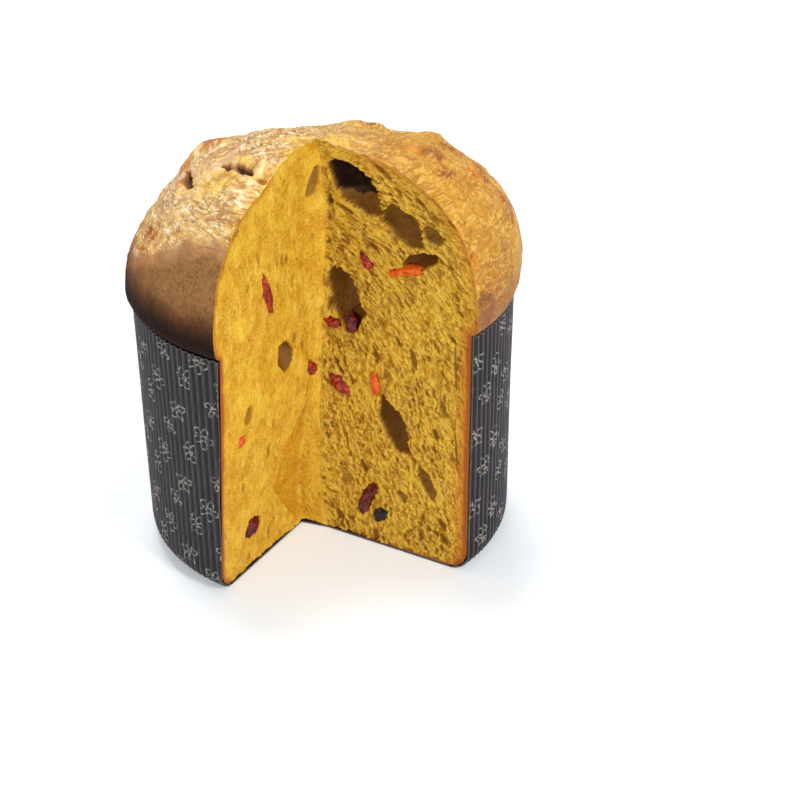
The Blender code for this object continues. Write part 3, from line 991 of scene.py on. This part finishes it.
def cut_surface(side, distance, height, back):
    """The smooth cut face with its wandering seam, and its normals, which point into the opening."""
    face = face_place(side, distance, height, back)
    opening = unit(along_of("left") + along_of("right"))
    to_left = np.array((opening[1], -opening[0]))
    out, aside = seam_shift(height, height[-1, 0])
    near_seam = 1 - ramp(distance, 0.0, 10.0)
    face[..., :2] += (out * near_seam)[..., None] * opening
    face[..., :2] += (aside * near_seam)[..., None] * to_left
    normal = np.cross(np.gradient(face, axis=1), np.gradient(face, axis=0))
    normal /= np.maximum(np.linalg.norm(normal, axis=-1, keepdims=True), 1e-9)
    return face, normal * np.sign(-(normal[..., :2] @ inward_of(side)).mean())


def pore_hollows(side, distance, height):
    """The named pores of a face: their depth, how brown they are and how smooth."""
    hollow, cave, smoothed = np.zeros((3, *distance.shape))
    for pore in LEFT_PORES if side == "left" else RIGHT_PORES:
        *_, full_depth, brownness = pore
        depth, inside = dent(distance, height, pore)
        hollow = np.maximum(hollow, depth)
        # cave: the hollow's brown, partly its own skin and partly painted shade
        cave = np.maximum(cave, inside * brownness)
        smoothed = np.maximum(smoothed, inside * min(1.0, full_depth / STEEP_DEPTH))
    return hollow, cave, smoothed


def torn_share(distance, height):
    """1 in the torn hollow low on the left face and 0 outside its uneven edge."""
    uneven = distance - 1.2 * flat_noise(distance, height, 5.0, 7.0, 139, 3)
    torn = ramp(np.interp(height, TEAR_HEIGHTS, TEAR_REACH) - uneven, -0.4, 1.2)
    return torn * ramp(distance, SEAM_STEP + 0.4, SEAM_STEP + 4) * ramp(height, 4.0, 14.0)


def seam_pockets(distance, height):
    """1 in the ragged dark pockets of the right face, which follow the seam above the ledge."""
    # The pockets are painted dark in build_crumb: painted shade in the inner corner of the cut
    uneven = distance + 2.4 * flat_noise(distance, height, 3.4, 5.0, 167, 3)
    pocket = ramp(flat_noise(0.3 * distance, height, 3.0, 8.0, 163, 3), -0.05, 0.35)
    pocket = pocket * ramp(distance, 0.2, 1.2) * (1 - ramp(uneven, 2.6, 5.0))
    return pocket * ramp(height, 96.0, 108.0) * (1 - ramp(height, 172.0, 178.0))


def fruit_beds(side, distance, height):
    """Depth of the shallow beds that the fruit lies in: its tilted ellipses with a ragged edge."""
    ragged = 0.30 * flat_noise(distance, height, 2.2, 2.2, 173, 3)
    beds = np.zeros_like(distance)
    for owner, cu, cv, length, width, tilt, _ in FRUIT.values():
        if owner == side:
            along, across = turned(distance - cu, height - cv, tilt)
            beds += 1 - ramp(np.hypot(along / length, across / width) + ragged, 0.72, 1.02)
    return FRUIT_BED_DEPTH * beds


def build_crumb(side, border, material):
    """A cut face: the plane or its leaning left twin, pushed in along its normals by pores and texture."""
    on_right = side == "right"
    distance, height, outline = face_grid(side, border)
    edge = edge_distance(distance, height, outline)
    back = back_of(side, distance, height)
    base, normal = cut_surface(side, distance, height, back)
    along = distance + back
    hollow, cave, smoothed = pore_hollows(side, distance, height)
    pits, web = crumb_texture(side, along, height, edge)
    broad = 0.7 * flat_noise(along, height, 14.0, 20.0, 19, 2)
    fine = 0.16 * flat_noise(along, height, 1.1, 1.1, 13, 2)
    torn = np.zeros_like(distance)
    if on_right:
        pocket = seam_pockets(distance, height)
        hollow = hollow + 4.4 * pocket
        # The pockets' darkness is painted shade in the inner corner of the cut
        cave = np.maximum(cave, 0.75 * pocket)
    else:
        torn = torn_share(distance, height)
        hollow = hollow + torn * (2.6 + 1.1 * flat_noise(along, height, 5.0, 7.0, 149, 4))
        pits = pits * (1 + 1.2 * torn)
        broad = broad + 0.7 * flat_noise(along, height, 6.0, 13.0, 23, 2)
    hollow = hollow + fruit_beds(side, distance, height)
    inner = ramp(edge, 0.2, 2.5) * ramp(distance, 0.0, 4.0 if on_right else 1.6)
    texture = (pits + broad + fine - web + 0.25) * (1 - 0.85 * smoothed) * inner
    face = base - normal * (texture + hollow * ramp(edge, 0.0, 1.2) * ramp(distance, 0.0, 0.8))[..., None]
    face[..., 2] += 0.20 * hollow * smoothed * ramp(edge, 0.0, 6.0)
    loop = grid_border(*distance.shape)
    backward = np.append(inward_of(side), 0.0) * CRUMB_BACKING
    middle = face_place(side, *map(np.array, CRUMB_CORE))
    points, faces = close_behind(face.reshape(-1, 3), grid_faces(*distance.shape), loop, backward, middle)
    near_top = ramp(height, 168.0, 182.0) * (1 - ramp(distance, 10.0 if on_right else 26.0, 40.0))
    values = {
        # Darker in the small pores by their depth: painted shade
        "pit_shade": np.clip(pits / (1.7 if on_right else 1.2), 0, 1) * (1 - smoothed),
        # cave: partly the hollows' own brown skin, partly painted shade
        "cave": cave,
        "edge": edge,
        # The finish lightens the raised web: painted highlight
        "web": np.clip(0.5 + web * 2.2, 0, 1),
        "tear": torn,
        "bare": np.maximum(0.62 * ramp(height, 118.0, 132.0), near_top),
        "right_side": np.full(distance.shape, float(on_right)),
    }
    hidden = len(points) - distance.size
    behind = {"edge": 9.0, "right_side": float(on_right)}
    values = {key: np.append(value, np.full(hidden, behind.get(key, 0.0))) for key, value in values.items()}
    name = f"crumb_{side}"
    make_piece(name, points, faces, material, "bread", values, sharp=[loop + loop[:1]])


# Fruit


def build_fruit(name, material):
    """A lumpy ellipsoid in its pocket, standing a little proud of the cut, wrinkled by smooth noise."""
    side, distance, height, length, width, tilt, depth = FRUIT[name]
    turn = math.radians(tilt)
    along = np.append(along_of(side), 0.0)
    into = np.append(inward_of(side), 0.0)
    up = np.array((0.0, 0.0, 1.0))
    long_way = along * math.cos(turn) + up * math.sin(turn)
    short_way = up * math.cos(turn) - along * math.sin(turn)
    distance, height = np.array(distance), np.array(height)
    centre = face_place(side, distance, height, back_of(side, distance, height) + 0.72 * depth)
    polar = np.linspace(0, math.pi, FRUIT_ROWS)[1:-1, None]
    around = np.linspace(0, 2 * math.pi, FRUIT_COLUMNS, endpoint=False)[None, :]
    ring = np.sin(polar) ** 0.85
    ball = np.stack([np.cos(polar) + 0 * around, ring * np.cos(around), ring * np.sin(around)], axis=-1)
    seed = sum(ord(letter) for letter in name)
    lumps = 1.08 + 0.48 * rough(ball * 3, 1.9, seed, 3) + 0.24 * rough(ball * 9, 1.5, seed + 9, 2)
    ends = [(1.0, 0.0, 0.0), (-1.0, 0.0, 0.0)]
    local = np.concatenate([(ball * lumps[..., None]).reshape(-1, 3), ends]) * (length, width, depth)
    points = centre + local @ np.stack([long_way, short_way, into])
    first, last = len(points) - 2, len(points) - 1
    low = first - FRUIT_COLUMNS
    step = [(i, (i + 1) % FRUIT_COLUMNS) for i in range(FRUIT_COLUMNS)]
    faces = grid_faces(FRUIT_ROWS - 2, FRUIT_COLUMNS, closed=True)
    faces += [(first, j, i) for i, j in step]
    faces += [(last, low + i, low + j) for i, j in step]
    make_piece(name + "_flesh", points, faces, material, name)


def flesh_of(name):
    """Which flesh a piece of fruit has."""
    if name in DARK_CHERRIES:
        return "dark candied cherry"
    if "cherry" in name:
        return "candied cherry"
    return "raisin" if "raisin" in name else "candied orange peel"


# Paper case


def case_cut_azimuths(radius, height):
    """Azimuths about the loaf's axis where a circle of the case meets the right and the left cut face."""

    def left_place(distance):
        return SEAM + along_of("left") * distance + inward_of("left") * left_depth(distance, height)

    def crossing(start, way):
        middle = start @ way
        ahead = -middle + math.sqrt(middle**2 - start @ start + radius**2)
        point = start + way * ahead
        return math.atan2(point[0], -point[1])

    near, far = left_place(SEAM_STEP), left_place(CORNER_REACH)
    right = crossing(SEAM, along_of("right"))
    return right, crossing(near, unit(far - near)) + 2 * math.pi


def case_profile():
    """The wall from the base to the rim: the turn of its rounded edge, and the rise above that edge."""
    even = np.linspace(CASE_EDGE_RADIUS, CASE_HEIGHT, 12)[1:-1]
    heights = [*even, *(CASE_HEIGHT - np.array((2.5, 0.7, 0)))]
    rounded = [(turn, 0.0) for turn in np.radians((0, 18, 36, 54, 72, 90))]
    return rounded + [(math.pi / 2, height - CASE_EDGE_RADIUS) for height in heights]


def build_case(material):
    """A fluted cup: radius plus a cosine of the azimuth, which fades out where the wall turns under."""
    columns = int(FLUTES * CASE_SHARE) * CASE_COLUMNS_PER_FLUTE
    outside, inside, sheet, grooves = [], [], [], []
    for turn, rise in case_profile():
        level = CASE_EDGE_RADIUS * (1 - math.cos(turn)) + rise
        inset = CASE_EDGE_RADIUS * (1 - math.sin(turn))
        right, left = case_cut_azimuths(case_radius(level) - inset, level)
        azimuth = np.linspace(right, left, columns)
        crooked = 0.25 * np.sin(5 * azimuth + 0.05 * level) + 0.18 * np.sin(11 * azimuth + 1.0)
        crooked = crooked * level / CASE_HEIGHT * (1 - level / CASE_HEIGHT) * 2
        flute = np.cos(FLUTES * azimuth)
        middle = case_radius(CASE_EDGE_RADIUS + rise) - CASE_EDGE_RADIUS
        middle = middle + FLUTE_DEPTH * flute * math.sin(turn) ** 2 + crooked
        for rows, bend in ((outside, CASE_EDGE_RADIUS), (inside, CASE_EDGE_RADIUS - CASE_WALL)):
            radius = middle + bend * math.sin(turn)
            z = np.full(columns, CASE_EDGE_RADIUS + rise - bend * math.cos(turn))
            rows.append(np.stack([radius * np.sin(azimuth), -radius * np.cos(azimuth), z], axis=1))
        along_sheet = level - (math.pi / 2 - turn) * CASE_EDGE_RADIUS * 0.4
        sheet.append(np.stack([azimuth * PRINT_RADIUS, np.full(columns, along_sheet)], axis=1))
        # groove: where a flute's crest and valley lie, painted in the finish with highlight and shade
        grooves.append(0.5 - 0.5 * flute * math.sin(turn))
    notch = SEAM + along_of("left") * SEAM_STEP + inward_of("left") * HOLLOW_AT_SEAM[1]
    base_corners = [(*corner, z) for z in (0.0, CASE_WALL) for corner in (notch, SEAM, BASE_HUB)]
    points = np.concatenate(outside + inside[::-1] + [base_corners])
    uv = np.concatenate(sheet + sheet[::-1] + [np.full((6, 2), -50.0)])
    levels = len(outside)
    base = 2 * levels * columns
    faces, edges = case_faces(levels, columns, base)
    values = {
        "lining": np.repeat((0.0, 1.0, 0.0, 1.0), (base // 2, base // 2, 3, 3)),
        "groove": np.concatenate(grooves + grooves[::-1] + [np.full(6, 0.5)]),
        "rim": ramp(points[:, 2], CASE_HEIGHT - 0.6, CASE_HEIGHT),
    }
    make_piece("fluted_paper", points, faces, material, "paper_case", values, uv, edges)


def case_faces(levels, columns, base):
    """Faces of the cup, and its edges as paths of points.

    The wall goes up outside and down inside as one grid, its two cut ends are closed level by level, and the
    base is a fan outside and one inside, each from its hub to the wall and the notch, with a strip between.
    """
    number = np.arange(base).reshape(2 * levels, columns)
    faces = grid_faces(2 * levels, columns)
    out, lined = number[:levels], number[: levels - 1 : -1]
    faces += list(zip(out[:-1, 0], lined[:-1, 0], lined[1:, 0], out[1:, 0]))
    faces += list(zip(out[:-1, -1], out[1:, -1], lined[1:, -1], lined[:-1, -1]))
    low_loop = [*number[0], base, base + 1]
    high_loop = [*number[-1], base + 3, base + 4]
    count = len(low_loop)
    following = [(i, (i + 1) % count) for i in range(count)]
    faces += [(low_loop[i], base + 2, low_loop[j]) for i, j in following]
    faces += [(high_loop[j], base + 5, high_loop[i]) for i, j in following]
    faces += [(low_loop[i], low_loop[j], high_loop[j], high_loop[i]) for i, j in following[columns - 1 :]]
    edges = [*number[[0, levels - 1, levels, -1]], number[:, 0], number[:, -1]]
    edges += [low_loop + low_loop[:1], high_loop + high_loop[:1]]
    return [tuple(map(int, face)) for face in faces], edges


# Materials


class Nodes:
    """Short words for building a material's node tree."""

    def __init__(self, name):
        self.material = bpy.data.materials.new(name)
        self.material.use_nodes = True
        self.tree = self.material.node_tree
        self.shader = self.tree.nodes["Principled BSDF"]
        self.object = self.new("ShaderNodeTexCoord").outputs["Object"]

    def new(self, kind, **settings):
        node = self.tree.nodes.new(kind)
        for key, value in settings.items():
            setattr(node, key, value)
        return node

    def put(self, value, socket):
        if isinstance(value, bpy.types.NodeSocket):
            self.tree.links.new(value, socket)
        else:
            socket.default_value = value

    def math(self, operation, *values):
        node = self.new("ShaderNodeMath", operation=operation)
        for value, socket in zip(values, node.inputs):
            self.put(value, socket)
        return node.outputs[0]

    def times(self, first, *others):
        for other in others:
            first = self.math("MULTIPLY", first, other)
        return first

    def value(self, name):
        return self.new("ShaderNodeAttribute", attribute_name=name).outputs["Fac"]

    def noise(self, size_mm, detail=3.0, stretch=None, distortion=0.0, rough_share=0.55, place=None):
        node = self.new("ShaderNodeTexNoise")
        node.inputs["Scale"].default_value = 1 / (size_mm * MM)
        node.inputs["Detail"].default_value = detail
        node.inputs["Roughness"].default_value = rough_share
        node.inputs["Distortion"].default_value = distortion
        place = place or self.object
        if stretch:
            mapping = self.new("ShaderNodeMapping")
            mapping.inputs["Scale"].default_value = stretch
            self.put(place, mapping.inputs["Vector"])
            place = mapping.outputs[0]
        self.put(place, node.inputs["Vector"])
        return node.outputs["Fac"]

    def line(self, size_mm, place):
        """Distance of a twisted noise from its middle value: 0 along thin wandering lines."""
        value = self.noise(size_mm, 3.0, distortion=0.8, place=place)
        return self.math("ABSOLUTE", self.math("SUBTRACT", value, 0.5))

    def smooth(self, value, low, high, to_low=0.0, to_high=1.0):
        node = self.new("ShaderNodeMapRange", interpolation_type="SMOOTHSTEP")
        self.put(value, node.inputs["Value"])
        node.inputs["From Min"].default_value = low
        node.inputs["From Max"].default_value = high
        node.inputs["To Min"].default_value = to_low
        node.inputs["To Max"].default_value = to_high
        return node.outputs["Result"]

    def mix(self, share, first, second):
        node = self.new("ShaderNodeMix", data_type="RGBA")
        self.put(share, node.inputs["Factor"])
        for value, key in ((first, "A"), (second, "B")):
            socket = next(s for s in node.inputs if s.name == key and s.type == "RGBA")
            self.put(value if isinstance(value, bpy.types.NodeSocket) else (*value, 1.0), socket)
        return next(s for s in node.outputs if s.type == "RGBA")

    def coats(self, colour, *layers):
        """A colour under layers of others, each given as the share that it covers and its shade."""
        for share, shade in layers:
            colour = self.mix(share, colour, shade)
        return colour

    def bump(self, height, distance_mm, strength=1.0, under=None):
        node = self.new("ShaderNodeBump")
        node.inputs["Strength"].default_value = strength
        node.inputs["Distance"].default_value = distance_mm * MM
        self.put(height, node.inputs["Height"])
        if under is not None:
            self.put(under, node.inputs["Normal"])
        return node.outputs[0]

    def finish(self, sockets):
        """Fills the shader's sockets and gives the finished material."""
        for name, value in sockets.items():
            self.put(value, self.shader.inputs[name])
        return self.material


def srgb(red, green, blue):
    """A colour as seen on a screen, 0 to 255, made linear."""
    parts = [value / 255 for value in (red, green, blue)]
    return tuple(p / 12.92 if p <= 0.04045 else ((p + 0.055) / 1.055) ** 2.4 for p in parts)


def crumb_finish():
    """Golden crumb: lighter on the web, deeper in the pores, brown in the big hollows and near the crust."""
    # Painted light: the raised web is lightened as highlight; the pores, the seam pockets, the tear's edge
    # and the right face's darker palette are painted shade, and the big hollows' brown is partly painted
    # shade
    n = Nodes("golden crumb")
    patchy = n.noise(9.0, 4.0)
    streaky = n.noise(5.0, 3.0, (1.0, 1.0, 0.35))
    fine = n.noise(1.3, 4.0, rough_share=0.7)
    speck = n.noise(0.8, 2.0)
    wander = n.noise(3.4, 3.0, (1.0, 1.0, 0.4))
    tone = n.smooth(patchy, 0.36, 0.64)
    tear, cave, right_side = n.value("tear"), n.value("cave"), n.value("right_side")
    left = n.coats(
        n.mix(tone, srgb(224, 175, 42), srgb(200, 140, 4)),
        (n.smooth(streaky, 0.54, 0.68, 0.0, 0.50), srgb(238, 200, 82)),
        (n.smooth(streaky, 0.44, 0.32, 0.0, 0.50), srgb(200, 132, 4)),
    )
    # The right face's darker copy of the crumb colour is painted shade of the face turned from the light
    right = n.mix(tone, srgb(204, 150, 24), srgb(170, 114, 6))
    # A darker line round the torn hollow's edge: painted shadow
    torn_rim_shadow = n.times(tear, n.math("SUBTRACT", 1.0, tear))
    rim = n.math("ADD", n.value("edge"), n.times(n.math("SUBTRACT", wander, 0.5), 3.2))
    reach = n.math("DIVIDE", rim, n.math("MULTIPLY_ADD", right_side, 0.8, 0.9))
    covered = n.math("SUBTRACT", 1.0, n.value("bare"))
    colour = n.coats(
        n.mix(right_side, left, right),
        (n.smooth(fine, 0.50, 0.34, 0.0, 0.50), srgb(184, 124, 4)),
        # Raised web: painted highlight
        (n.smooth(n.value("web"), 0.55, 1.0, 0.0, 0.60), srgb(234, 194, 70)),
        (n.smooth(speck, 0.50, 0.72, 0.0, 0.55), srgb(242, 206, 92)),
        # Small pores: painted shade
        (n.smooth(n.value("pit_shade"), 0.1, 0.9, 0.0, 0.86), srgb(134, 80, 8)),
        (n.times(tear, 0.65), srgb(208, 146, 4)),
        # Edge of the torn hollow: painted shadow
        (n.times(torn_rim_shadow, 1.8), srgb(178, 112, 8)),
        # Big hollows brown to near black: partly their own brown skin, partly painted shade
        (n.smooth(cave, 0.05, 0.60, 0.0, 0.92), srgb(118, 68, 16)),
        (n.smooth(cave, 0.55, 1.0, 0.0, 0.97), srgb(44, 22, 12)),
        (n.times(covered, n.smooth(reach, 4.8, 0.8, 0.0, 0.80)), srgb(192, 110, 26)),
        (n.times(covered, n.smooth(rim, 2.8, 0.7, 0.0, 0.92)), srgb(160, 78, 20)),
    )
    return n.finish({
        "Base Color": colour,
        "Roughness": n.smooth(cave, 0.1, 0.8, 0.66, 0.42),
        "Specular IOR Level": 0.25,
        "Normal": n.bump(fine, 0.55, 0.9),
    })


def crust_finish():
    """Baked skin: cream and wrinkled on the left shoulder, gold on the right, brown and grained low down.

    It is near black under the bulge, partly browner crust and partly painted shade under the overhang, and
    yellow where the crumb is bare. Creases, wrinkle lines and cracks are darkened with painted shade, the
    ridges carry painted highlight, and the pale cream of the left shoulder is partly painted sheen.
    """
    n = Nodes("baked crust")
    ring = n.new("ShaderNodeAttribute", attribute_name="ring").outputs["Vector"]
    mottle = n.noise(4.0, 4.0, rough_share=0.62)
    grain = n.noise(0.9, 3.0, rough_share=0.7)
    fleck = n.noise(1.7, 3.0, rough_share=0.6)
    long_line = n.line(5.2, ring)
    short_line = n.line(2.6, ring)
    golden, wrinkle, low, pale = (n.value(name) for name in ("golden", "wrinkle", "low", "pale"))
    pit_shade, under = n.value("skin_pit"), n.value("under")
    bake = n.math("ADD", n.value("bake"), n.times(n.math("SUBTRACT", mottle, 0.5), 0.6))
    left = n.coats(
        n.mix(n.smooth(bake, 0.0, 0.34), srgb(246, 208, 128), srgb(226, 166, 80)),
        (n.smooth(bake, 0.32, 0.60), srgb(186, 108, 44)),
        (n.smooth(fleck, 0.47, 0.34, 0.0, 0.55), srgb(190, 118, 54)),
    )
    right = n.coats(
        n.mix(n.smooth(bake, 0.10, 0.40), srgb(214, 160, 62), srgb(194, 134, 42)),
        (n.smooth(bake, 0.34, 0.62), srgb(162, 96, 34)),
        (n.smooth(fleck, 0.53, 0.66, 0.0, 0.48), srgb(244, 206, 116)),
        (n.smooth(fleck, 0.46, 0.34, 0.0, 0.40), srgb(158, 98, 38)),
    )
    brown = n.coats(
        n.mix(n.smooth(mottle, 0.36, 0.64), srgb(112, 72, 38), srgb(140, 97, 56)),
        (n.smooth(grain, 0.42, 0.66, 0.0, 0.55), srgb(172, 130, 86)),
        (n.smooth(grain, 0.44, 0.30, 0.0, 0.50), srgb(82, 50, 28)),
    )
    yellow = n.mix(n.smooth(grain, 0.36, 0.62), srgb(214, 156, 40), srgb(250, 218, 116))
    # light is a painted highlight for the wrinkles' ridges, and shade is painted shade for the wrinkle lines
    light = n.mix(golden, srgb(255, 243, 210), srgb(244, 204, 108))
    shade = n.mix(golden, srgb(172, 104, 46), srgb(150, 90, 34))
    ridge_highlight = n.smooth(short_line, 0.06, 0.15, 0.0, 0.60)
    fringe = n.times(low, n.math("SUBTRACT", 1.0, low))
    lines = n.math("MAXIMUM", n.smooth(long_line, 0.05, 0.0), n.smooth(short_line, 0.05, 0.0, 0.0, 0.6))
    colour = n.coats(
        n.mix(golden, left, right),
        (n.smooth(bake, 0.62, 0.95), srgb(112, 64, 34)),
        # Pale cream on the left shoulder and top: partly its own cream skin, partly painted sheen
        (n.times(pale, n.smooth(mottle, 0.40, 0.60, 0.05, 0.85)), srgb(252, 224, 160)),
        (n.times(n.value("orange"), 0.75), srgb(214, 134, 44)),
        # Ridges of the wrinkles: painted highlight
        (n.times(wrinkle, ridge_highlight), light),
        (n.times(n.value("bare"), 0.9), yellow),
        (n.times(low, 0.94), brown),
        (n.times(fringe, 2.2), srgb(168, 116, 84)),
        # Wrinkle lines: painted shade
        (n.times(lines, wrinkle, 0.74), shade),
        # Creases darkened: painted shade
        (n.smooth(n.value("crease"), 0.15, 1.0, 0.0, 0.55), srgb(170, 100, 38)),
        # Cracks: brown edges of their own and a dark middle of painted shade that deepens with the crack
        (n.smooth(pit_shade, 0.04, 0.45, 0.0, 0.9), srgb(170, 98, 36)),
        (n.smooth(pit_shade, 0.45, 0.95), srgb(66, 32, 14)),
        # Under the bulge: partly browner crust, partly painted shade under the overhang
        (n.smooth(under, 0.0, 0.6, 0.0, 0.6), srgb(84, 40, 22)),
        (n.smooth(under, 0.25, 1.0, 0.0, 0.97), srgb(26, 11, 6)),
    )
    long_fold = n.smooth(long_line, 0.0, 0.10, 0.0, 0.6)
    short_fold = n.smooth(short_line, 0.0, 0.12, 0.0, 0.4)
    folded = n.bump(n.times(n.math("ADD", long_fold, short_fold), wrinkle), 0.9, 0.9)
    pimpled = n.bump(fleck, 0.5, 0.6, folded)
    return n.finish({
        "Base Color": colour,
        "Roughness": n.smooth(low, 0.0, 0.6, 0.50, 0.85),
        "Specular IOR Level": 0.12,
        "Coat Weight": n.times(pale, n.smooth(mottle, 0.35, 0.65, 0.15, 0.75)),
        "Coat Roughness": 0.28,
        "Normal": n.bump(grain, 0.28, 0.8, pimpled),
    })


def fruit_finish(name, deep, bright, pale, gloss):
    """Candied flesh: two shades of one colour in soft lumps and paler flecks, moist and slightly clear."""
    n = Nodes(name)
    # The paler flecks are painted highlights
    lumps = n.noise(1.9, 4.0)
    colour = n.coats(
        srgb(*deep),
        (n.smooth(lumps, 0.40, 0.60), srgb(*bright)),
        # Paler flecks: painted highlights
        (n.smooth(n.noise(1.1, 3.0), 0.58, 0.72, 0.0, 0.55), srgb(*pale)),
    )
    return n.finish({
        "Base Color": colour,
        "Roughness": gloss,
        "Specular IOR Level": 0.35,
        "Subsurface Weight": 0.1,
        "Subsurface Radius": (0.003, 0.0008, 0.0004),
        "Subsurface Scale": 1.0,
        "Normal": n.bump(lumps, 0.5, 0.6),
    })


def printed_flower(n, u, v, place_u, place_v, size, petals, turn):
    """Outline of one flower.

    The angle is folded into one petal, where the line is an ellipse out from the flower's middle.
    """

    def length_of(a, b):
        return n.math("SQRT", n.math("ADD", n.times(a, a), n.times(b, b)))

    du = n.math("SUBTRACT", u, place_u)
    dv = n.math("SUBTRACT", v, place_v)
    radius = length_of(du, dv)
    sector = 2 * math.pi / petals
    angle = n.math("ADD", n.math("ARCTAN2", dv, du), turn + 4 * math.pi + sector / 2)
    folded = n.math("SUBTRACT", n.math("FLOORED_MODULO", angle, sector), sector / 2)
    ahead = n.times(radius, n.math("COSINE", folded))
    out = n.math("DIVIDE", n.math("SUBTRACT", ahead, 0.60 * size), 0.40 * size)
    side = n.math("DIVIDE", n.times(radius, n.math("SINE", folded)), 0.27 * size)
    ring = n.math("SUBTRACT", length_of(out, side), 1.0)
    return n.smooth(n.times(n.math("ABSOLUTE", ring), 0.31 * size), 0.46, 0.20)


def paper_finish():
    """Charcoal paper with a plum cast and a small repeating print of outline flowers; plain brown inside."""
    n = Nodes("charcoal printed paper")
    # The flutes carry painted highlight on their crests and painted shade in their valleys
    place = n.new("ShaderNodeUVMap", uv_map="around").outputs[0]
    split = n.new("ShaderNodeSeparateXYZ")
    n.put(place, split.inputs[0])
    column = n.math("FLOOR", n.math("DIVIDE", split.outputs[0], PRINT_WIDTH))
    u = n.math("FLOORED_MODULO", split.outputs[0], PRINT_WIDTH)
    lifted = n.math("MULTIPLY_ADD", column, 0.5 * PRINT_HEIGHT, split.outputs[1])
    v = n.math("FLOORED_MODULO", lifted, PRINT_HEIGHT)
    line = 0.0
    for flower in PRINT_FLOWERS:
        line = n.math("MAXIMUM", line, printed_flower(n, u, v, *flower))
    worn = n.smooth(n.noise(1.0, 0.0), 0.42, 0.56, 0.15, 1.0)
    groove = n.value("groove")
    colour = n.coats(
        n.mix(n.smooth(n.noise(18.0, 2.0), 0.35, 0.65), srgb(50, 41, 47), srgb(36, 29, 33)),
        # Flutes: painted highlight on the crests, painted shade in the valleys
        (n.smooth(groove, 0.30, 0.0, 0.0, 0.55), srgb(84, 76, 84)),
        (n.smooth(groove, 0.25, 0.85), srgb(7, 4, 6)),
        (n.times(line, worn), srgb(142, 140, 128)),
        (n.value("lining"), srgb(112, 98, 88)),
        (n.times(n.value("rim"), 0.5), srgb(120, 110, 110)),
    )
    return n.finish({
        "Base Color": colour,
        "Roughness": 0.50,
        "Specular IOR Level": 0.30,
        "Normal": n.bump(n.noise(0.8, 3.0), 0.08, 0.5),
    })


# Camera, floor and light

CAMERA_PITCH = 29.29
CAMERA_ROLL = -0.628
CAMERA_FOCAL_PIXELS = 1975.6
CAMERA_DISTANCE = 0.91496
CAMERA_TARGET = (0.03379, 0.0, 0.06041)
IMAGE_WIDTH = 800
SENSOR_WIDTH = 36.0
FLOOR_REACH = 6.0
FLOOR_LEVEL = -0.0002


def place_camera():
    """The photograph's viewpoint: pitch down, a slight roll, and a lens from the focal length in pixels."""
    pitch, roll = math.radians(CAMERA_PITCH), math.radians(CAMERA_ROLL)
    ahead = np.array((0.0, math.cos(pitch), -math.sin(pitch)))
    right = np.array((1.0, 0.0, 0.0))
    up = np.cross(right, ahead)
    turned_right = math.cos(roll) * right + math.sin(roll) * up
    turned_up = -math.sin(roll) * right + math.cos(roll) * up
    eye = np.array(CAMERA_TARGET) - ahead * CAMERA_DISTANCE
    data = bpy.data.cameras.new("camera")
    data.sensor_width = SENSOR_WIDTH
    data.sensor_fit = "HORIZONTAL"
    data.lens = SENSOR_WIDTH * CAMERA_FOCAL_PIXELS / IMAGE_WIDTH
    data.clip_end = 50.0
    camera = bpy.data.objects.new("camera", data)
    matrix = Matrix(np.stack([turned_right, turned_up, -ahead], axis=1).tolist()).to_4x4()
    matrix.translation = Vector(eye.tolist())
    camera.matrix_world = matrix
    bpy.context.scene.collection.objects.link(camera)
    bpy.context.scene.camera = camera


def sun(name, towards, energy, angle, colour=(1.0, 1.0, 1.0)):
    """A soft light from far away, given by the direction it comes from."""
    data = bpy.data.lights.new(name, "SUN")
    data.energy = energy
    data.angle = math.radians(angle)
    data.color = colour
    lamp = bpy.data.objects.new(name, data)
    lamp.matrix_world = Vector(towards).to_track_quat("Z", "Y").to_matrix().to_4x4()
    bpy.context.scene.collection.objects.link(lamp)


def build_studio():
    """White surroundings, three soft suns and a plain floor."""
    world = bpy.data.worlds.new("studio")
    world.use_nodes = True
    world.node_tree.nodes["Background"].inputs["Color"].default_value = (1.0, 1.0, 1.0, 1.0)
    world.node_tree.nodes["Background"].inputs["Strength"].default_value = 0.55
    bpy.context.scene.world = world
    sun("key", (0.58, -0.60, 0.56), 1.50, 12.0, (1.0, 0.985, 0.96))
    sun("front_left", (-0.30, -0.80, 0.45), 0.40, 30.0)
    sun("back_top", (-0.12, 0.32, 0.94), 1.60, 20.0, (1.0, 0.98, 0.94))
    signs = ((-1, -1), (1, -1), (1, 1), (-1, 1))
    corners = [(x * FLOOR_REACH, y * FLOOR_REACH, FLOOR_LEVEL) for x, y in signs]
    mesh = bpy.data.meshes.new("floor")
    mesh.from_pydata(corners, [], [(0, 1, 2, 3)])
    white = Nodes("white floor").finish({
        "Base Color": (0.77, 0.80, 0.83, 1.0),
        "Roughness": 0.9,
        "Specular IOR Level": 0.0,
        "Emission Color": (0.90, 0.96, 1.0, 1.0),
        "Emission Strength": 0.28,
    })
    mesh.materials.append(white)
    floor = bpy.data.objects.new("floor", mesh)
    bpy.context.scene.collection.objects.link(floor)
    bpy.context.scene.view_settings.view_transform = "Standard"


moved_skin, still_skin, skin_crease_shade = crust_surface()
crumb = crumb_finish()
build_crust(moved_skin, still_skin, skin_crease_shade, crust_finish())
build_crumb("right", moved_skin[:, 0], crumb)
build_crumb("left", moved_skin[:, -1], crumb)
flesh = {name: fruit_finish(name, *shades) for name, shades in FLESH.items()}
for fruit_name in FRUIT:
    build_fruit(fruit_name, flesh[flesh_of(fruit_name)])
build_case(paper_finish())
build_studio()
place_camera()
